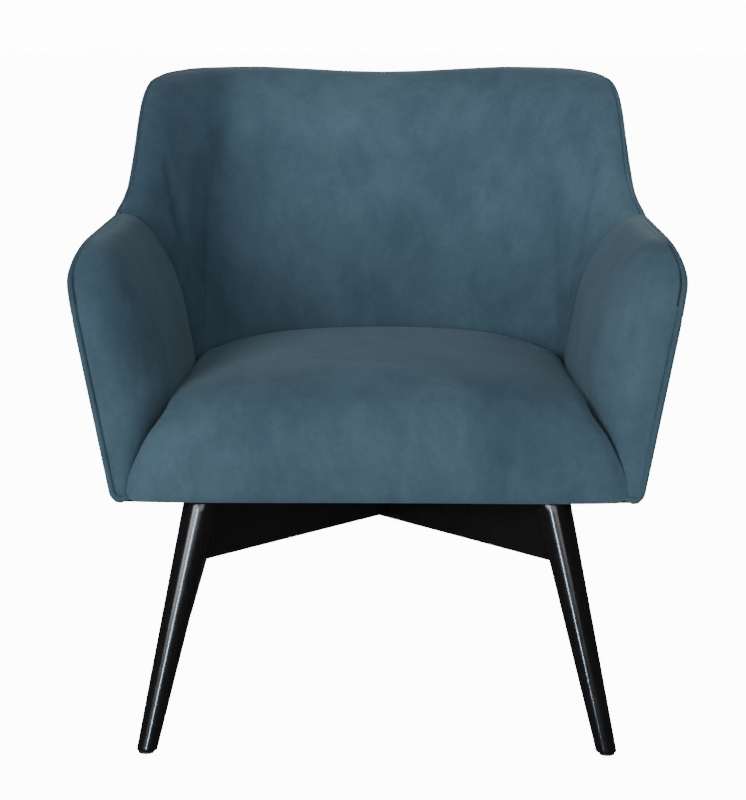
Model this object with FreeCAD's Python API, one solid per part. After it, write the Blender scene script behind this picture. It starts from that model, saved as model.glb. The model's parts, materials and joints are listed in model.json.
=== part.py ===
"""Upholstered tub armchair on a splayed wooden base. Millimetres.

+X is the sitter's left as seen from the front, the chair faces -Y and +Z is up.
The origin is on the floor under the middle of the chair's outline.
"""
import FreeCAD, Part
import math
import os

V = FreeCAD.Vector

# Heights of the layers, from the floor up
FLOOR = 0.0
GLIDE_TOP = 3.0
BOARD_BOTTOM = 219.0
BASE_TOP = 288.8
CLOTH_TOP = 290.0
BODY_BOTTOM = 291.0
RAIL_BOTTOM = 291.2
RAIL_TOP = 346.0
PAD_BOTTOM = 350.0
SPRING_Z = 348.0
FELT_BOTTOM = 353.0
FELT_TOP = 356.0
SEAT_SIDE_TOP = 409.0
SEAT_LEVEL = 411.0
ARM_TOP = 590.0

# Base: legs and crossed boards
LEG_R_FOOT = 12.0
LEG_R_TOP = 21.0
FRONT_FOOT = (268.0, -324.5)
REAR_FOOT = (276.0, 275.5)
FRONT_JOINT = (219.7, -279.4)
REAR_JOINT = (219.7, 227.4)
CROSSING = (0.0, -26.0)
BOARD_THICK = 25.0
LAP_FIT = 0.1
DOWEL_R = 5.0
DOWEL_IN_LEG = 11.0
DOWEL_IN_BOARD = 26.0
DOWEL_HEIGHTS = (232.0, 252.0)
BOLT_R = 4.0
BOLT_IN_LEG = 20.0
BOLT_SETBACK = 8.0
BOLT_IN_FRAME = 40.0
GLIDE_R = 9.0
GLIDE_PIN_R = 2.5
GLIDE_PIN_LENGTH = 14.0

# Plan of the shell: straight arms in front of PLAN_Y, a rounded tub behind it
PLAN_Y = 40.0
ARM_FRONT = -268.0
NOSE_FRONT = -297.0
SIDE_BOTTOM = 305.5
SIDE_LEAN = 0.19
SIDE_TAPER = 10.0 / 325.0
ROLL_HEIGHT = 46.0
INNER_LEVELS = (
    (SEAT_LEVEL, 232.0, 100.0, 2.1),
    (480.0, 244.0, 122.0, 2.2),
    (560.0, 262.0, 147.0, 2.3),
    (735.0, 290.0, 197.0, 2.6),
)
OUTER_LEVELS = (
    (BODY_BOTTOM, 294.0, 214.0, 3.2),
    (SEAT_LEVEL, 317.0, 236.0, 3.2),
    (555.0, 344.0, 262.0, 3.2),
    (600.0, 334.0, 271.0, 3.2),
    (650.0, 322.0, 286.0, 3.3),
    (760.0, 320.0, 306.8, 3.4),
)
CREST = (
    (0.0, 590.0),
    (7.0, 611.0),
    (14.0, 639.0),
    (20.0, 665.0),
    (27.0, 698.0),
    (33.0, 735.0),
    (40.0, 753.0),
    (52.0, 758.0),
    (70.0, 754.0),
    (90.0, 751.0),
)
ARM_INNER = (
    (-297.0, 290.0),
    (-285.0, 274.0),
    (-268.0, 262.0),
    (-230.0, 250.0),
    (-200.0, 244.0),
    (-150.0, 238.0),
    (-60.0, 232.0),
    (PLAN_Y, 232.0),
)

# Thickness of the layers, counted in from the outside
COVER = 1.5
PAD_DEPTH = 30.0
PLY = 10.0
HARDBOARD = 4.0
GAP = 0.4

# Timber frame
TIMBER = 25.0
FRONT_RAIL_Y = -268.0
SIDE_RAIL_X = 255.0
SIDE_RAIL_END = 120.0
REAR_RAIL_Y = 196.0
POST_X = 160.0
POST_WIDTH = 26.0
POST_DEPTH = 38.0
POST_FRONT = 188.0
POST_LEAN = 0.195
POST_TOP = 672.0
TOP_RAIL_TOP = 708.0
TOP_RAIL_SETBACK = 6.5
LUMBAR_BOTTOM = 440.0
LUMBAR_TOP = 480.0
ARM_RAIL_X = 295.0
ARM_RAIL_BOTTOM = 485.0
ARM_RAIL_TOP = 525.0
ARM_RAIL_SETBACK = 6.0
ARM_POST_X = 266.0
ARM_POST_WIDTH = 26.0
SCREW_R = 2.5
SCREW_LENGTH = 45.0
SCREW_HEIGHTS = (305.0, 332.0)
REAR_BLOCK_DEPTH = 36.0
REAR_BLOCK_REACH = 26.0
FRONT_BLOCK_LEG = 80.0
FRONT_BLOCK_DROP = 10.0

# Seat springs and webbing
SPRING_ROWS = (-130.0, -65.0, 0.0, 65.0, 130.0)
SPRING_WIRE_R = 1.8
SPRING_HALF = 20.0
SPRING_PITCH = 24.0
STRAP_THICK = 2.0
STRAP_WIDTH = 50.0
WELT_R = 3.2


def box(x0, x1, y0, y1, z0, z1):
    """A box between two corners."""
    return Part.makeBox(x1 - x0, y1 - y0, z1 - z0, V(x0, y0, z0))


def prism(plan, z0, z1):
    """A plan polygon raised from z0 to z1."""
    corners = [V(x, y, z0) for x, y in plan]
    face = Part.Face(Part.makePolygon(corners + corners[:1]))
    return face.extrude(V(0, 0, z1 - z0))


def mirrored(shape):
    """The same shape on the other side of the chair."""
    return shape.mirror(V(0, 0, 0), V(1, 0, 0))


def joined(shapes):
    """Separate solids kept together as one group."""
    return Part.makeCompound(list(shapes))


def save(name, shape):
    """Write one sub-part."""
    shape.exportStep("parts/" + name + ".step")


def between(table, key):
    """Interpolate a table whose rows start with an ascending key."""
    if key <= table[0][0]:
        return table[0][1:]
    for low, high in zip(table, table[1:]):
        if key <= high[0]:
            part = (key - low[0]) / (high[0] - low[0])
            return tuple(a + (b - a) * part for a, b in zip(low[1:], high[1:]))
    return table[-1][1:]


def tub_radius(levels, theta, z):
    """Distance from the tub's axis to a wall, at an angle and a height."""
    half_width, depth, power = between(levels, z)
    across = abs(math.cos(theta)) / half_width
    along = abs(math.sin(theta)) / depth
    return (across ** power + along ** power) ** (-1.0 / power)


def arm_inner(y, z):
    """Half width between the arms."""
    at_seat = between(ARM_INNER, y)[0]
    lean = between(INNER_LEVELS, z)[0] - INNER_LEVELS[0][1]
    fade = min(1.0, max(0.0, (y - NOSE_FRONT) / 60.0))
    return at_seat + lean * (0.45 + 0.55 * fade)


def nose_inner(y, z):
    """Half width where an arm's front meets the seat's front, below the seat."""
    if z >= SEAT_LEVEL:
        return arm_inner(y, z)
    part = (SEAT_LEVEL - z) / (SEAT_LEVEL - BODY_BOTTOM)
    start = arm_inner(y, SEAT_LEVEL)
    return start + (290.0 - start) * part ** 0.9


def arm_outer(y, z):
    """Half width over the arms."""
    return SIDE_BOTTOM + SIDE_LEAN * (z - BODY_BOTTOM) - SIDE_TAPER * (y + 285.0)


def profile(inner, outer, foot, crest):
    """Outline of a wall: up the inside, over the roll, down the outside."""
    spring = crest - ROLL_HEIGHT
    points = []
    for step in range(7):
        z = foot + (spring - foot) * step / 7.0
        points.append((inner(z), z))
    middle = 0.5 * (inner(spring) + outer(spring))
    half = 0.5 * (outer(spring) - inner(spring))
    for step in range(9):
        turn = math.pi * (1.0 - step / 8.0)
        points.append((middle + half * math.cos(turn), spring + ROLL_HEIGHT * math.sin(turn)))
    for step in range(1, 7):
        z = spring + (BODY_BOTTOM - spring) * step / 6.0
        points.append((outer(z), z))
    return points


# Places in an outline: where the roll ends, and the outline's last point.
ROLL_END = 15
LAST = 21


def inset(points, depth):
    """The outline moved into the wall by a depth."""
    moved = []
    for index, (r, z) in enumerate(points):
        before = points[max(index - 1, 0)]
        after = points[min(index + 1, len(points) - 1)]
        across, up = after[0] - before[0], after[1] - before[1]
        length = math.hypot(across, up)
        moved.append((r + depth * up / length, z - depth * across / length))
    return moved


def arm_station(y, foot=PAD_BOTTOM):
    """An outline across the right arm, and the way it is placed."""
    crest = ARM_TOP
    if y < -230.0:
        crest = ARM_TOP - 30.0 * ((-230.0 - y) / 67.0) ** 2
    low = nose_inner if foot < PAD_BOTTOM else arm_inner
    outline = profile(lambda z: low(y, z), lambda z: arm_outer(y, z), foot, crest)
    return outline, lambda r, z: V(r, y, z)


def tub_station(degrees):
    """An outline across the tub at an angle, and the way it is placed."""
    theta = math.radians(degrees)
    crest = between(CREST, min(degrees, 180.0 - degrees))[0]
    outline = profile(
        lambda z: tub_radius(INNER_LEVELS, theta, z),
        lambda z: tub_radius(OUTER_LEVELS, theta, z),
        PAD_BOTTOM,
        crest,
    )
    return outline, lambda r, z: V(r * math.cos(theta), PLAN_Y + r * math.sin(theta), z)


def layer(stations, first, last, near, far):
    """A layer of the wall between two depths, along a row of stations."""
    wires = []
    for outline, place in stations:
        outside = inset(outline, near)[first:last + 1]
        inside = inset(outline, far)[first:last + 1]
        ring = [place(r, z) for r, z in outside + inside[::-1]]
        wires.append(Part.makePolygon(ring + ring[:1]))
    return Part.makeLoft(wires, True, True)


def block(stations):
    """A full wall with no hollow, along a row of stations."""
    wires = []
    for outline, place in stations:
        ring = [place(r, z) for r, z in inset(outline, COVER)]
        wires.append(Part.makePolygon(ring + ring[:1]))
    return Part.makeLoft(wires, True, True)


def leg(foot, joint):
    """A round tapered leg, splayed, cut level at both ends."""
    drift = V((joint[0] - foot[0]) / BOARD_BOTTOM, (joint[1] - foot[1]) / BOARD_BOTTOM, 1.0)
    spare = 12.0
    start = V(foot[0], foot[1], 0) - drift * spare
    grow = (LEG_R_TOP - LEG_R_FOOT) / BASE_TOP
    length = (BASE_TOP + 2 * spare) * drift.Length
    radius = LEG_R_FOOT - grow * spare
    cone = Part.makeCone(radius, radius + grow * (BASE_TOP + 2 * spare), length, start, drift)
    body = cone.common(box(-400, 400, -400, 400, GLIDE_TOP, BASE_TOP))
    return body, drift


def level_point(foot, drift, z):
    """Where a leg's axis passes a height."""
    return V(foot[0], foot[1], 0) + drift * z


# ---------------------------------------------------------------- base

os.makedirs("parts", exist_ok=True)

CORNERS = []
for tag, foot, joint in (("front", FRONT_FOOT, FRONT_JOINT), ("rear", REAR_FOOT, REAR_JOINT)):
    for side, sign in (("right", 1.0), ("left", -1.0)):
        CORNERS.append((tag + "_" + side, (sign * foot[0], foot[1]), (sign * joint[0], joint[1])))


def board_direction(joint):
    """Level direction from the crossing to a leg."""
    way = V(joint[0] - CROSSING[0], joint[1] - CROSSING[1], 0)
    return way.normalize()


def cross_board(rear_joint, front_joint, z_from, z_to):
    """One board of the cross, with half of its height cut away at the crossing."""
    way = board_direction(rear_joint)
    side = V(-way.y, way.x, 0)
    ends = []
    for joint in (front_joint, rear_joint):
        ends.append(V(joint[0], joint[1], 0))
    half = side * (BOARD_THICK / 2.0)
    plan = [ends[0] - half, ends[1] - half, ends[1] + half, ends[0] + half]
    board = prism([(p.x, p.y) for p in plan], BOARD_BOTTOM, BASE_TOP)
    other = board_direction((-rear_joint[0], rear_joint[1]))
    reach = other * 60.0
    wide = V(-other.y, other.x, 0) * (BOARD_THICK / 2.0 + LAP_FIT)
    middle = V(CROSSING[0], CROSSING[1], 0)
    notch = [middle - reach - wide, middle + reach - wide, middle + reach + wide, middle - reach + wide]
    return board.cut(prism([(p.x, p.y) for p in notch], z_from, z_to))


HALF_HEIGHT = 0.5 * (BOARD_BOTTOM + BASE_TOP)
board_a = cross_board(REAR_JOINT, (-FRONT_JOINT[0], FRONT_JOINT[1]), HALF_HEIGHT, BASE_TOP + 1)
board_b = cross_board((-REAR_JOINT[0], REAR_JOINT[1]), FRONT_JOINT, BOARD_BOTTOM - 1, HALF_HEIGHT)

legs, dowels, bolts, glides = {}, [], [], []
for name, foot, joint in CORNERS:
    body, drift = leg(foot, joint)
    sleeve = body.copy()
    board_a = board_a.cut(sleeve)
    board_b = board_b.cut(sleeve)
    way = board_direction(joint)
    for height in DOWEL_HEIGHTS:
        centre = level_point(foot, drift, height)
        leg_radius = LEG_R_FOOT + (LEG_R_TOP - LEG_R_FOOT) * height / BASE_TOP
        mouth = centre - way * leg_radius
        start = mouth + way * DOWEL_IN_LEG
        dowel = Part.makeCylinder(DOWEL_R, DOWEL_IN_LEG + DOWEL_IN_BOARD, start, way * -1.0)
        dowels.append(dowel)
        body = body.cut(dowel)
        board_a = board_a.cut(dowel)
        board_b = board_b.cut(dowel)
    top = level_point(foot, drift, BASE_TOP)
    if top.y < 0:
        top.y += BOLT_SETBACK
    bolt = Part.makeCylinder(BOLT_R, BOLT_IN_LEG + BOLT_IN_FRAME, V(top.x, top.y, BASE_TOP - BOLT_IN_LEG))
    bolts.append(bolt)
    body = body.cut(bolt)
    ground = level_point(foot, drift, 0.0)
    glide = Part.makeCylinder(GLIDE_R, GLIDE_TOP, V(ground.x, ground.y, FLOOR))
    pin = Part.makeCylinder(GLIDE_PIN_R, GLIDE_PIN_LENGTH, V(ground.x, ground.y, GLIDE_TOP))
    glide = glide.fuse(pin).removeSplitter()
    glides.append(glide)
    legs[name] = body.cut(pin)

for name, body in legs.items():
    save("leg_" + name, body)
for name, board in (("cross_board_a", board_a), ("cross_board_b", board_b)):
    save(name, max(board.Solids, key=lambda solid: solid.Volume))
save("leg_dowels", joined(dowels))
save("leg_bolts", joined(bolts))
save("foot_glides", joined(glides))

# ---------------------------------------------------------------- frame


def drilled(shape):
    """A frame piece with the leg bolts' holes in it."""
    for bolt in bolts:
        shape = shape.cut(bolt)
    return shape


def leaning(x0, x1, y_front, depth, z0, z1):
    """An upright that leans back with the chair's back."""
    shift = POST_LEAN * (z0 - RAIL_BOTTOM)
    rise = POST_LEAN * (z1 - RAIL_BOTTOM)
    corners = [
        V(x0, y_front + shift, z0),
        V(x0, y_front + shift + depth, z0),
        V(x0, y_front + rise + depth, z1),
        V(x0, y_front + rise, z1),
    ]
    face = Part.Face(Part.makePolygon(corners + corners[:1]))
    return face.extrude(V(x1 - x0, 0, 0))


front_reach = ARM_POST_X
front_rail = drilled(box(-front_reach, front_reach, FRONT_RAIL_Y, FRONT_RAIL_Y + TIMBER, RAIL_BOTTOM, RAIL_TOP))
side_front = FRONT_RAIL_Y + TIMBER
side_rail = box(SIDE_RAIL_X, SIDE_RAIL_X + TIMBER, side_front, SIDE_RAIL_END, RAIL_BOTTOM, RAIL_TOP)
inner_post = POST_X
outer_post = POST_X + POST_WIDTH
rear_rail = box(-inner_post, inner_post, REAR_RAIL_Y, REAR_RAIL_Y + TIMBER, RAIL_BOTTOM, RAIL_TOP)
rear_block = drilled(prism([
    (SIDE_RAIL_X + TIMBER, SIDE_RAIL_END),
    (SIDE_RAIL_X, SIDE_RAIL_END),
    (outer_post, POST_FRONT),
    (outer_post, POST_FRONT + REAR_BLOCK_DEPTH),
    (outer_post + REAR_BLOCK_REACH, POST_FRONT + REAR_BLOCK_DEPTH),
], RAIL_BOTTOM, RAIL_TOP))
back_post = leaning(inner_post, outer_post, POST_FRONT, POST_DEPTH, RAIL_BOTTOM, POST_TOP)
rear_block = rear_block.cut(back_post)
front_block = prism([
    (SIDE_RAIL_X, side_front),
    (SIDE_RAIL_X, side_front + FRONT_BLOCK_LEG),
    (SIDE_RAIL_X - FRONT_BLOCK_LEG, side_front),
], RAIL_BOTTOM, RAIL_TOP - FRONT_BLOCK_DROP)

POST_AT_TOP = POST_FRONT + POST_LEAN * (POST_TOP - RAIL_BOTTOM)
TOP_RAIL_Y = POST_AT_TOP + TOP_RAIL_SETBACK
top_rail = box(-outer_post, outer_post, TOP_RAIL_Y, TOP_RAIL_Y + TIMBER, POST_TOP, TOP_RAIL_TOP)
lumbar_front = POST_FRONT + POST_LEAN * (LUMBAR_TOP - RAIL_BOTTOM) + STRAP_THICK + GAP
lumbar_rail = box(-inner_post, inner_post, lumbar_front, lumbar_front + TIMBER, LUMBAR_BOTTOM, LUMBAR_TOP)

arm_post_base = [
    V(ARM_POST_X, FRONT_RAIL_Y, RAIL_BOTTOM),
    V(ARM_POST_X + ARM_POST_WIDTH, FRONT_RAIL_Y, RAIL_BOTTOM),
]
rise = SIDE_LEAN * (ARM_RAIL_BOTTOM - RAIL_BOTTOM)
arm_post_ring = arm_post_base + [
    V(ARM_POST_X + ARM_POST_WIDTH + rise, FRONT_RAIL_Y, ARM_RAIL_BOTTOM),
    V(ARM_POST_X + rise, FRONT_RAIL_Y, ARM_RAIL_BOTTOM),
]
arm_post = Part.Face(Part.makePolygon(arm_post_ring + arm_post_ring[:1])).extrude(V(0, TIMBER, 0))
arm_rail_front = FRONT_RAIL_Y + ARM_RAIL_SETBACK
arm_rail_rear = PLAN_Y + 10.0
arm_rail = box(ARM_RAIL_X, ARM_RAIL_X + TIMBER, arm_rail_front, arm_rail_rear, ARM_RAIL_BOTTOM, ARM_RAIL_TOP)

screws = []
for sign in (-1.0, 1.0):
    for height in SCREW_HEIGHTS:
        start = V(sign * (outer_post - 8.0), REAR_RAIL_Y + TIMBER / 2.0, height)
        screws.append(Part.makeCylinder(SCREW_R, SCREW_LENGTH, start, V(-sign, 0, 0)))
    start = V(sign * (SIDE_RAIL_X + TIMBER / 2.0), FRONT_RAIL_Y + 2.0, SCREW_HEIGHTS[0])
    screws.append(Part.makeCylinder(SCREW_R, SCREW_LENGTH, start, V(0, 1, 0)))
    for offset in (6.0, 18.0):
        start = V(sign * (inner_post + 13.0), TOP_RAIL_Y + offset, TOP_RAIL_TOP - 4.0)
        screws.append(Part.makeCylinder(SCREW_R, SCREW_LENGTH + 10.0, start, V(0, 0, -1)))


def screwed(shape):
    """A frame piece with its screw holes."""
    for screw in screws:
        shape = shape.cut(screw)
    return shape


save("seat_rail_front", screwed(front_rail))
save("seat_rail_right", screwed(side_rail))
save("seat_rail_left", screwed(mirrored(side_rail)))
save("seat_rail_rear", screwed(rear_rail))
save("corner_block_rear_right", rear_block)
save("corner_block_rear_left", mirrored(rear_block))
save("corner_blocks_front", joined([screwed(front_block), screwed(mirrored(front_block))]))
save("back_post_right", screwed(back_post))
save("back_post_left", screwed(mirrored(back_post)))
save("back_rail_top", screwed(top_rail))
save("back_rail_lumbar", lumbar_rail)
save("arm_post_right", screwed(arm_post))
save("arm_post_left", screwed(mirrored(arm_post)))
save("arm_rail_right", arm_rail)
save("arm_rail_left", mirrored(arm_rail))
save("frame_screws", joined(screws))

# ---------------------------------------------------------------- springs and webbing


def zigzag(x):
    """A serpentine spring of round wire from the front rail to the rear rail."""
    front = FRONT_RAIL_Y + 12.0
    rear = REAR_RAIL_Y + 12.0
    count = int((rear - front) / SPRING_PITCH)
    pitch = (rear - front) / count
    bend = pitch / 2.0
    reach = SPRING_HALF - bend
    edges = []
    for turn in range(count + 1):
        y = front + turn * pitch
        edges.append(Part.makeLine(V(x - reach, y, SPRING_Z), V(x + reach, y, SPRING_Z)))
        if turn < count:
            sign = 1.0 if turn % 2 == 0 else -1.0
            ends = (V(x + sign * reach, y, SPRING_Z), V(x + sign * reach, y + pitch, SPRING_Z))
            peak = V(x + sign * (reach + bend), y + bend, SPRING_Z)
            edges.append(Part.Arc(ends[0], peak, ends[1]).toShape())
    path = Part.Wire(Part.__sortEdges__(edges))
    first = path.Edges[0]
    start = first.valueAt(first.FirstParameter)
    tangent = first.tangentAt(first.FirstParameter)
    ring = Part.Wire(Part.makeCircle(SPRING_WIRE_R, start, tangent))
    return path.makePipeShell([ring], True, True), front, rear


springs, clips = [], []
for x in SPRING_ROWS:
    spring, front, rear = zigzag(x)
    springs.append(spring)
    for y in (front, rear):
        body = box(x - 7.0, x + 7.0, y - 5.0, y + 5.0, RAIL_TOP, SPRING_Z + 4.0)
        slot = Part.makeCylinder(SPRING_WIRE_R, 30.0, V(x - 15.0, y, SPRING_Z), V(1, 0, 0))
        clips.append(body.cut(slot))
save("seat_springs", joined(springs))
save("spring_clips", joined(clips))

straps = []
for x in (-105.0, -35.0, 35.0, 105.0):
    straps.append(leaning(x - STRAP_WIDTH / 2, x + STRAP_WIDTH / 2, POST_FRONT + GAP,
                          STRAP_THICK, LUMBAR_BOTTOM + 5.0, POST_TOP + 20.0))
for z in (500.0, 560.0, 620.0):
    straps.append(leaning(-outer_post + 4.0, outer_post - 4.0, POST_FRONT - STRAP_THICK,
                          STRAP_THICK, z, z + STRAP_WIDTH))
save("back_webbing", joined(straps))

# ---------------------------------------------------------------- seat

SEAT_FRONT = -291.0
SEAT_LEVELS = (
    (FELT_TOP + GAP, 3.0, 0.0),
    (388.0, 0.0, 0.0),
    (SEAT_SIDE_TOP, 0.0, 7.0),
    (422.0, 10.0, 26.0),
    (430.0, 38.0, 62.0),
    (434.5, 78.0, 118.0),
)
BORDER_REAR = FRONT_RAIL_Y - GAP
BORDER_BOTTOM_X = 283.0
SEAT_CLEAR = 2.6


def seat_plan(inward, front):
    """Outline of the seat between the arms, moved in by a distance."""
    half = [(between(ARM_INNER, front)[0] - inward, front)]
    for index, row in enumerate(ARM_INNER[1:-1]):
        y = max(row[0], front + 0.5 * (index + 1))
        half.append((between(ARM_INNER, y)[0] - inward, y))
    for step in range(9):
        theta = math.radians(step * 10.0)
        radius = tub_radius(INNER_LEVELS, theta, SEAT_LEVEL) - inward
        half.append((radius * math.cos(theta), PLAN_Y + radius * math.sin(theta)))
    depth = tub_radius(INNER_LEVELS, math.pi / 2.0, SEAT_LEVEL) - inward
    left = [(-x, y) for x, y in half]
    return half + [(0.0, PLAN_Y + depth)] + left[::-1]


def seat_rings(skin, lowest):
    """Level outlines of the seat, grown by a skin on the top and the front."""
    rings = []
    for index, (z, inward, back) in enumerate(SEAT_LEVELS):
        front = SEAT_FRONT + back - skin
        lift = skin if index > 1 else 0.0
        plan = seat_plan(inward + SEAT_CLEAR - skin, front)
        rings.append([V(x, y, z + lift) for x, y in plan])
    rings[0] = [V(p.x, p.y, lowest) for p in rings[0]]
    return rings


def loft_rings(rings):
    """A solid through level outlines."""
    return Part.makeLoft([Part.makePolygon(ring + ring[:1]) for ring in rings], True, True)


def border(skin):
    """The drop of the seat's front, down to the underside of the chair."""
    front = SEAT_FRONT - skin
    inward = SEAT_CLEAR + SEAT_LEVELS[0][1] - skin
    low = BORDER_BOTTOM_X + skin
    rings = []
    for z, widths in (
        (BODY_BOTTOM, (low, low)),
        (SEAT_LEVELS[0][0], tuple(between(ARM_INNER, y)[0] - inward for y in (front, BORDER_REAR))),
    ):
        rings.append([
            V(-widths[0], front, z),
            V(widths[0], front, z),
            V(widths[1], BORDER_REAR, z),
            V(-widths[1], BORDER_REAR, z),
        ])
    return loft_rings(rings)


felt = prism(seat_plan(16.0, -255.0), FELT_BOTTOM, FELT_TOP)
foam = loft_rings(seat_rings(0.0, SEAT_LEVELS[0][0])).fuse(border(0.0))
skin = loft_rings(seat_rings(COVER, SEAT_LEVELS[0][0])).fuse(border(COVER))
save("seat_felt", felt)
save("seat_foam", foam)
save("seat_cover", skin.cut(foam))

# ---------------------------------------------------------------- arms and back

ARM_ROW = (ARM_FRONT, -230.0, -200.0, -150.0, -60.0, PLAN_Y)
NOSE_ROW = (NOSE_FRONT + COVER, -291.0, -281.0, ARM_FRONT)
OUTSIDE_ROW = (NOSE_FRONT + 8.0,) + ARM_ROW
BACK_ANGLES = (0, 6, 12, 18, 24, 30, 36, 44, 56, 73, 90, 107, 124, 136, 144, 150, 156, 162, 168, 174, 180)
CORNER_ANGLE = 44
WING_END = 56

arm_row = [arm_station(y) for y in ARM_ROW]
nose_row = [arm_station(y, BODY_BOTTOM) for y in NOSE_ROW]
nose_front = [arm_station(NOSE_FRONT, BODY_BOTTOM), arm_station(NOSE_FRONT + COVER, BODY_BOTTOM)]
outside_row = [arm_station(y) for y in OUTSIDE_ROW]
back_row = [tub_station(angle) for angle in BACK_ANGLES]
corner_row = [tub_station(angle) for angle in BACK_ANGLES if angle <= CORNER_ANGLE]
rear_row = [tub_station(angle) for angle in BACK_ANGLES if CORNER_ANGLE <= angle <= 180 - CORNER_ANGLE]

nose = block(nose_row)
arm_foam = layer(arm_row, 0, ROLL_END, COVER, PAD_DEPTH).fuse(nose).removeSplitter()
arm_foam = arm_foam.cut(arm_post).cut(arm_rail)
arm_cover = layer(arm_row, 0, ROLL_END, 0.0, COVER)
arm_cover = arm_cover.fuse(layer(nose_row, 0, ROLL_END, 0.0, COVER))
arm_cover = arm_cover.fuse(block(nose_front)).removeSplitter()
arm_outside = layer(outside_row, ROLL_END, LAST, 0.0, COVER)
arm_outside = arm_outside.fuse(layer(corner_row, ROLL_END, LAST, 0.0, COVER)).removeSplitter()
arm_ply = layer(arm_row, ROLL_END, LAST, COVER, COVER + PLY)
wing_row = [tub_station(angle) for angle in BACK_ANGLES if angle <= WING_END]
centre_row = [tub_station(angle) for angle in BACK_ANGLES if WING_END <= angle <= 180 - WING_END]
wing_foam = layer(wing_row, 0, ROLL_END, COVER, PAD_DEPTH)
centre_foam = layer(centre_row, 0, ROLL_END, COVER, PAD_DEPTH)
back_cover = layer(back_row, 0, ROLL_END, 0.0, COVER)
back_outside = layer(rear_row, ROLL_END, LAST, 0.0, COVER)
back_board = layer(rear_row, ROLL_END, LAST, COVER, COVER + HARDBOARD)


def welt():
    """A thin cord along the front edge of an arm's outside panel."""
    path = []
    y = NOSE_FRONT + 3.0
    outline, place = arm_station(y)
    for r, z in inset(outline, -WELT_R - GAP)[ROLL_END - 3:]:
        path.append(place(r, z + (WELT_R if z < BODY_BOTTOM + 5.0 else 0.0)))
    wire = Part.makePolygon(path)
    way = path[1] - path[0]
    ring = Part.Wire(Part.makeCircle(WELT_R, path[0], way))
    return wire.makePipeShell([ring], True, True, 1)


cord = welt()
pairs = (
    ("arm_foam", arm_foam),
    ("arm_inside_cover", arm_cover),
    ("arm_outside_cover", arm_outside),
    ("arm_side_panel", arm_ply),
    ("arm_welt", cord),
)
for name, shape in pairs:
    save(name + "_right", shape)
    save(name + "_left", mirrored(shape))
save("back_foam_right", wing_foam)
save("back_foam_left", mirrored(wing_foam))
save("back_foam_centre", centre_foam)
save("back_inside_cover", back_cover)
save("back_outside_cover", back_outside)
save("back_backing_board", back_board)

# ---------------------------------------------------------------- dust cover

under = []
for y in (-292.0, -200.0, -60.0, PLAN_Y):
    under.append((arm_outer(y, BODY_BOTTOM) - COVER, y))
for step in range(1, 9):
    theta = math.radians(step * 10.0)
    radius = tub_radius(OUTER_LEVELS, theta, BODY_BOTTOM) - COVER
    under.append((radius * math.cos(theta), PLAN_Y + radius * math.sin(theta)))
under.append((0.0, PLAN_Y + tub_radius(OUTER_LEVELS, math.pi / 2.0, BODY_BOTTOM) - COVER))
under += [(-x, y) for x, y in under[-2::-1]]
save("dust_cover", drilled(prism(under, BASE_TOP, CLOTH_TOP)))
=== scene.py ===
"""Looks of an upholstered tub armchair: velvet shell and seat on a black lacquered base.

Metres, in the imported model's frame: the chair faces -Y, +Z is up and the floor is Z = 0.
"""

import json
import logging
import math
from dataclasses import dataclass
from enum import Enum
from typing import Callable, Dict, List, Optional, Sequence, Tuple

import bmesh
import bpy
import numpy as np
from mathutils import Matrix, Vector, kdtree, noise


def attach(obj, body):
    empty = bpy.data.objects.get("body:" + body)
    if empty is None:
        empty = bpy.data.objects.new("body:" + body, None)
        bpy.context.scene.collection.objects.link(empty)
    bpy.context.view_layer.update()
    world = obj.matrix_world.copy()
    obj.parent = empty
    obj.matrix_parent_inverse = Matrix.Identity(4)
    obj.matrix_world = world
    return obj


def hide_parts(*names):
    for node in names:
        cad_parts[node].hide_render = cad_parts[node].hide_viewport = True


LOG = logging.getLogger("armchair")
BODY = "root"
Grid = np.ndarray
Row = Tuple[float, ...]

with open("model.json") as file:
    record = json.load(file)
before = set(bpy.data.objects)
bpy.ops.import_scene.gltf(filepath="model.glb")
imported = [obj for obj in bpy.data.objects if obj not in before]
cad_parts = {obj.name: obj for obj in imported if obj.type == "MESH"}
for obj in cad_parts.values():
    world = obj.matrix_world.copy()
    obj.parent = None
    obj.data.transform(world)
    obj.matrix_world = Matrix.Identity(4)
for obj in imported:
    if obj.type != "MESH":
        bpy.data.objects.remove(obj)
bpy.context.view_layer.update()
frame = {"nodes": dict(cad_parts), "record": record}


class Side(Enum):
    """Which arm a piece belongs to."""

    LEFT = -1
    RIGHT = 1

    @property
    def word(self) -> str:
        """The side's name as the frame's nodes spell it."""
        return self.name.lower()


# ---------------------------------------------------------------- tables and small maths


def between(table: Sequence[Row], key: Grid, column: int = 1) -> Grid:
    """Interpolate one column of a table whose rows start with an ascending key.

    Args:
        table: rows of numbers, the first of each being the key.
        key: the values looked up.
        column: which column is read.

    Returns:
        The column's value at each key.
    """
    keys = [row[0] for row in table]
    return np.interp(key, keys, [row[column] for row in table])


def smooth(value: Grid) -> Grid:
    """Ease from 0 to 1 with level ends."""
    part = np.clip(value, 0.0, 1.0)
    return part * part * (3.0 - 2.0 * part)


# ---------------------------------------------------------------- the shell's form


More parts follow.
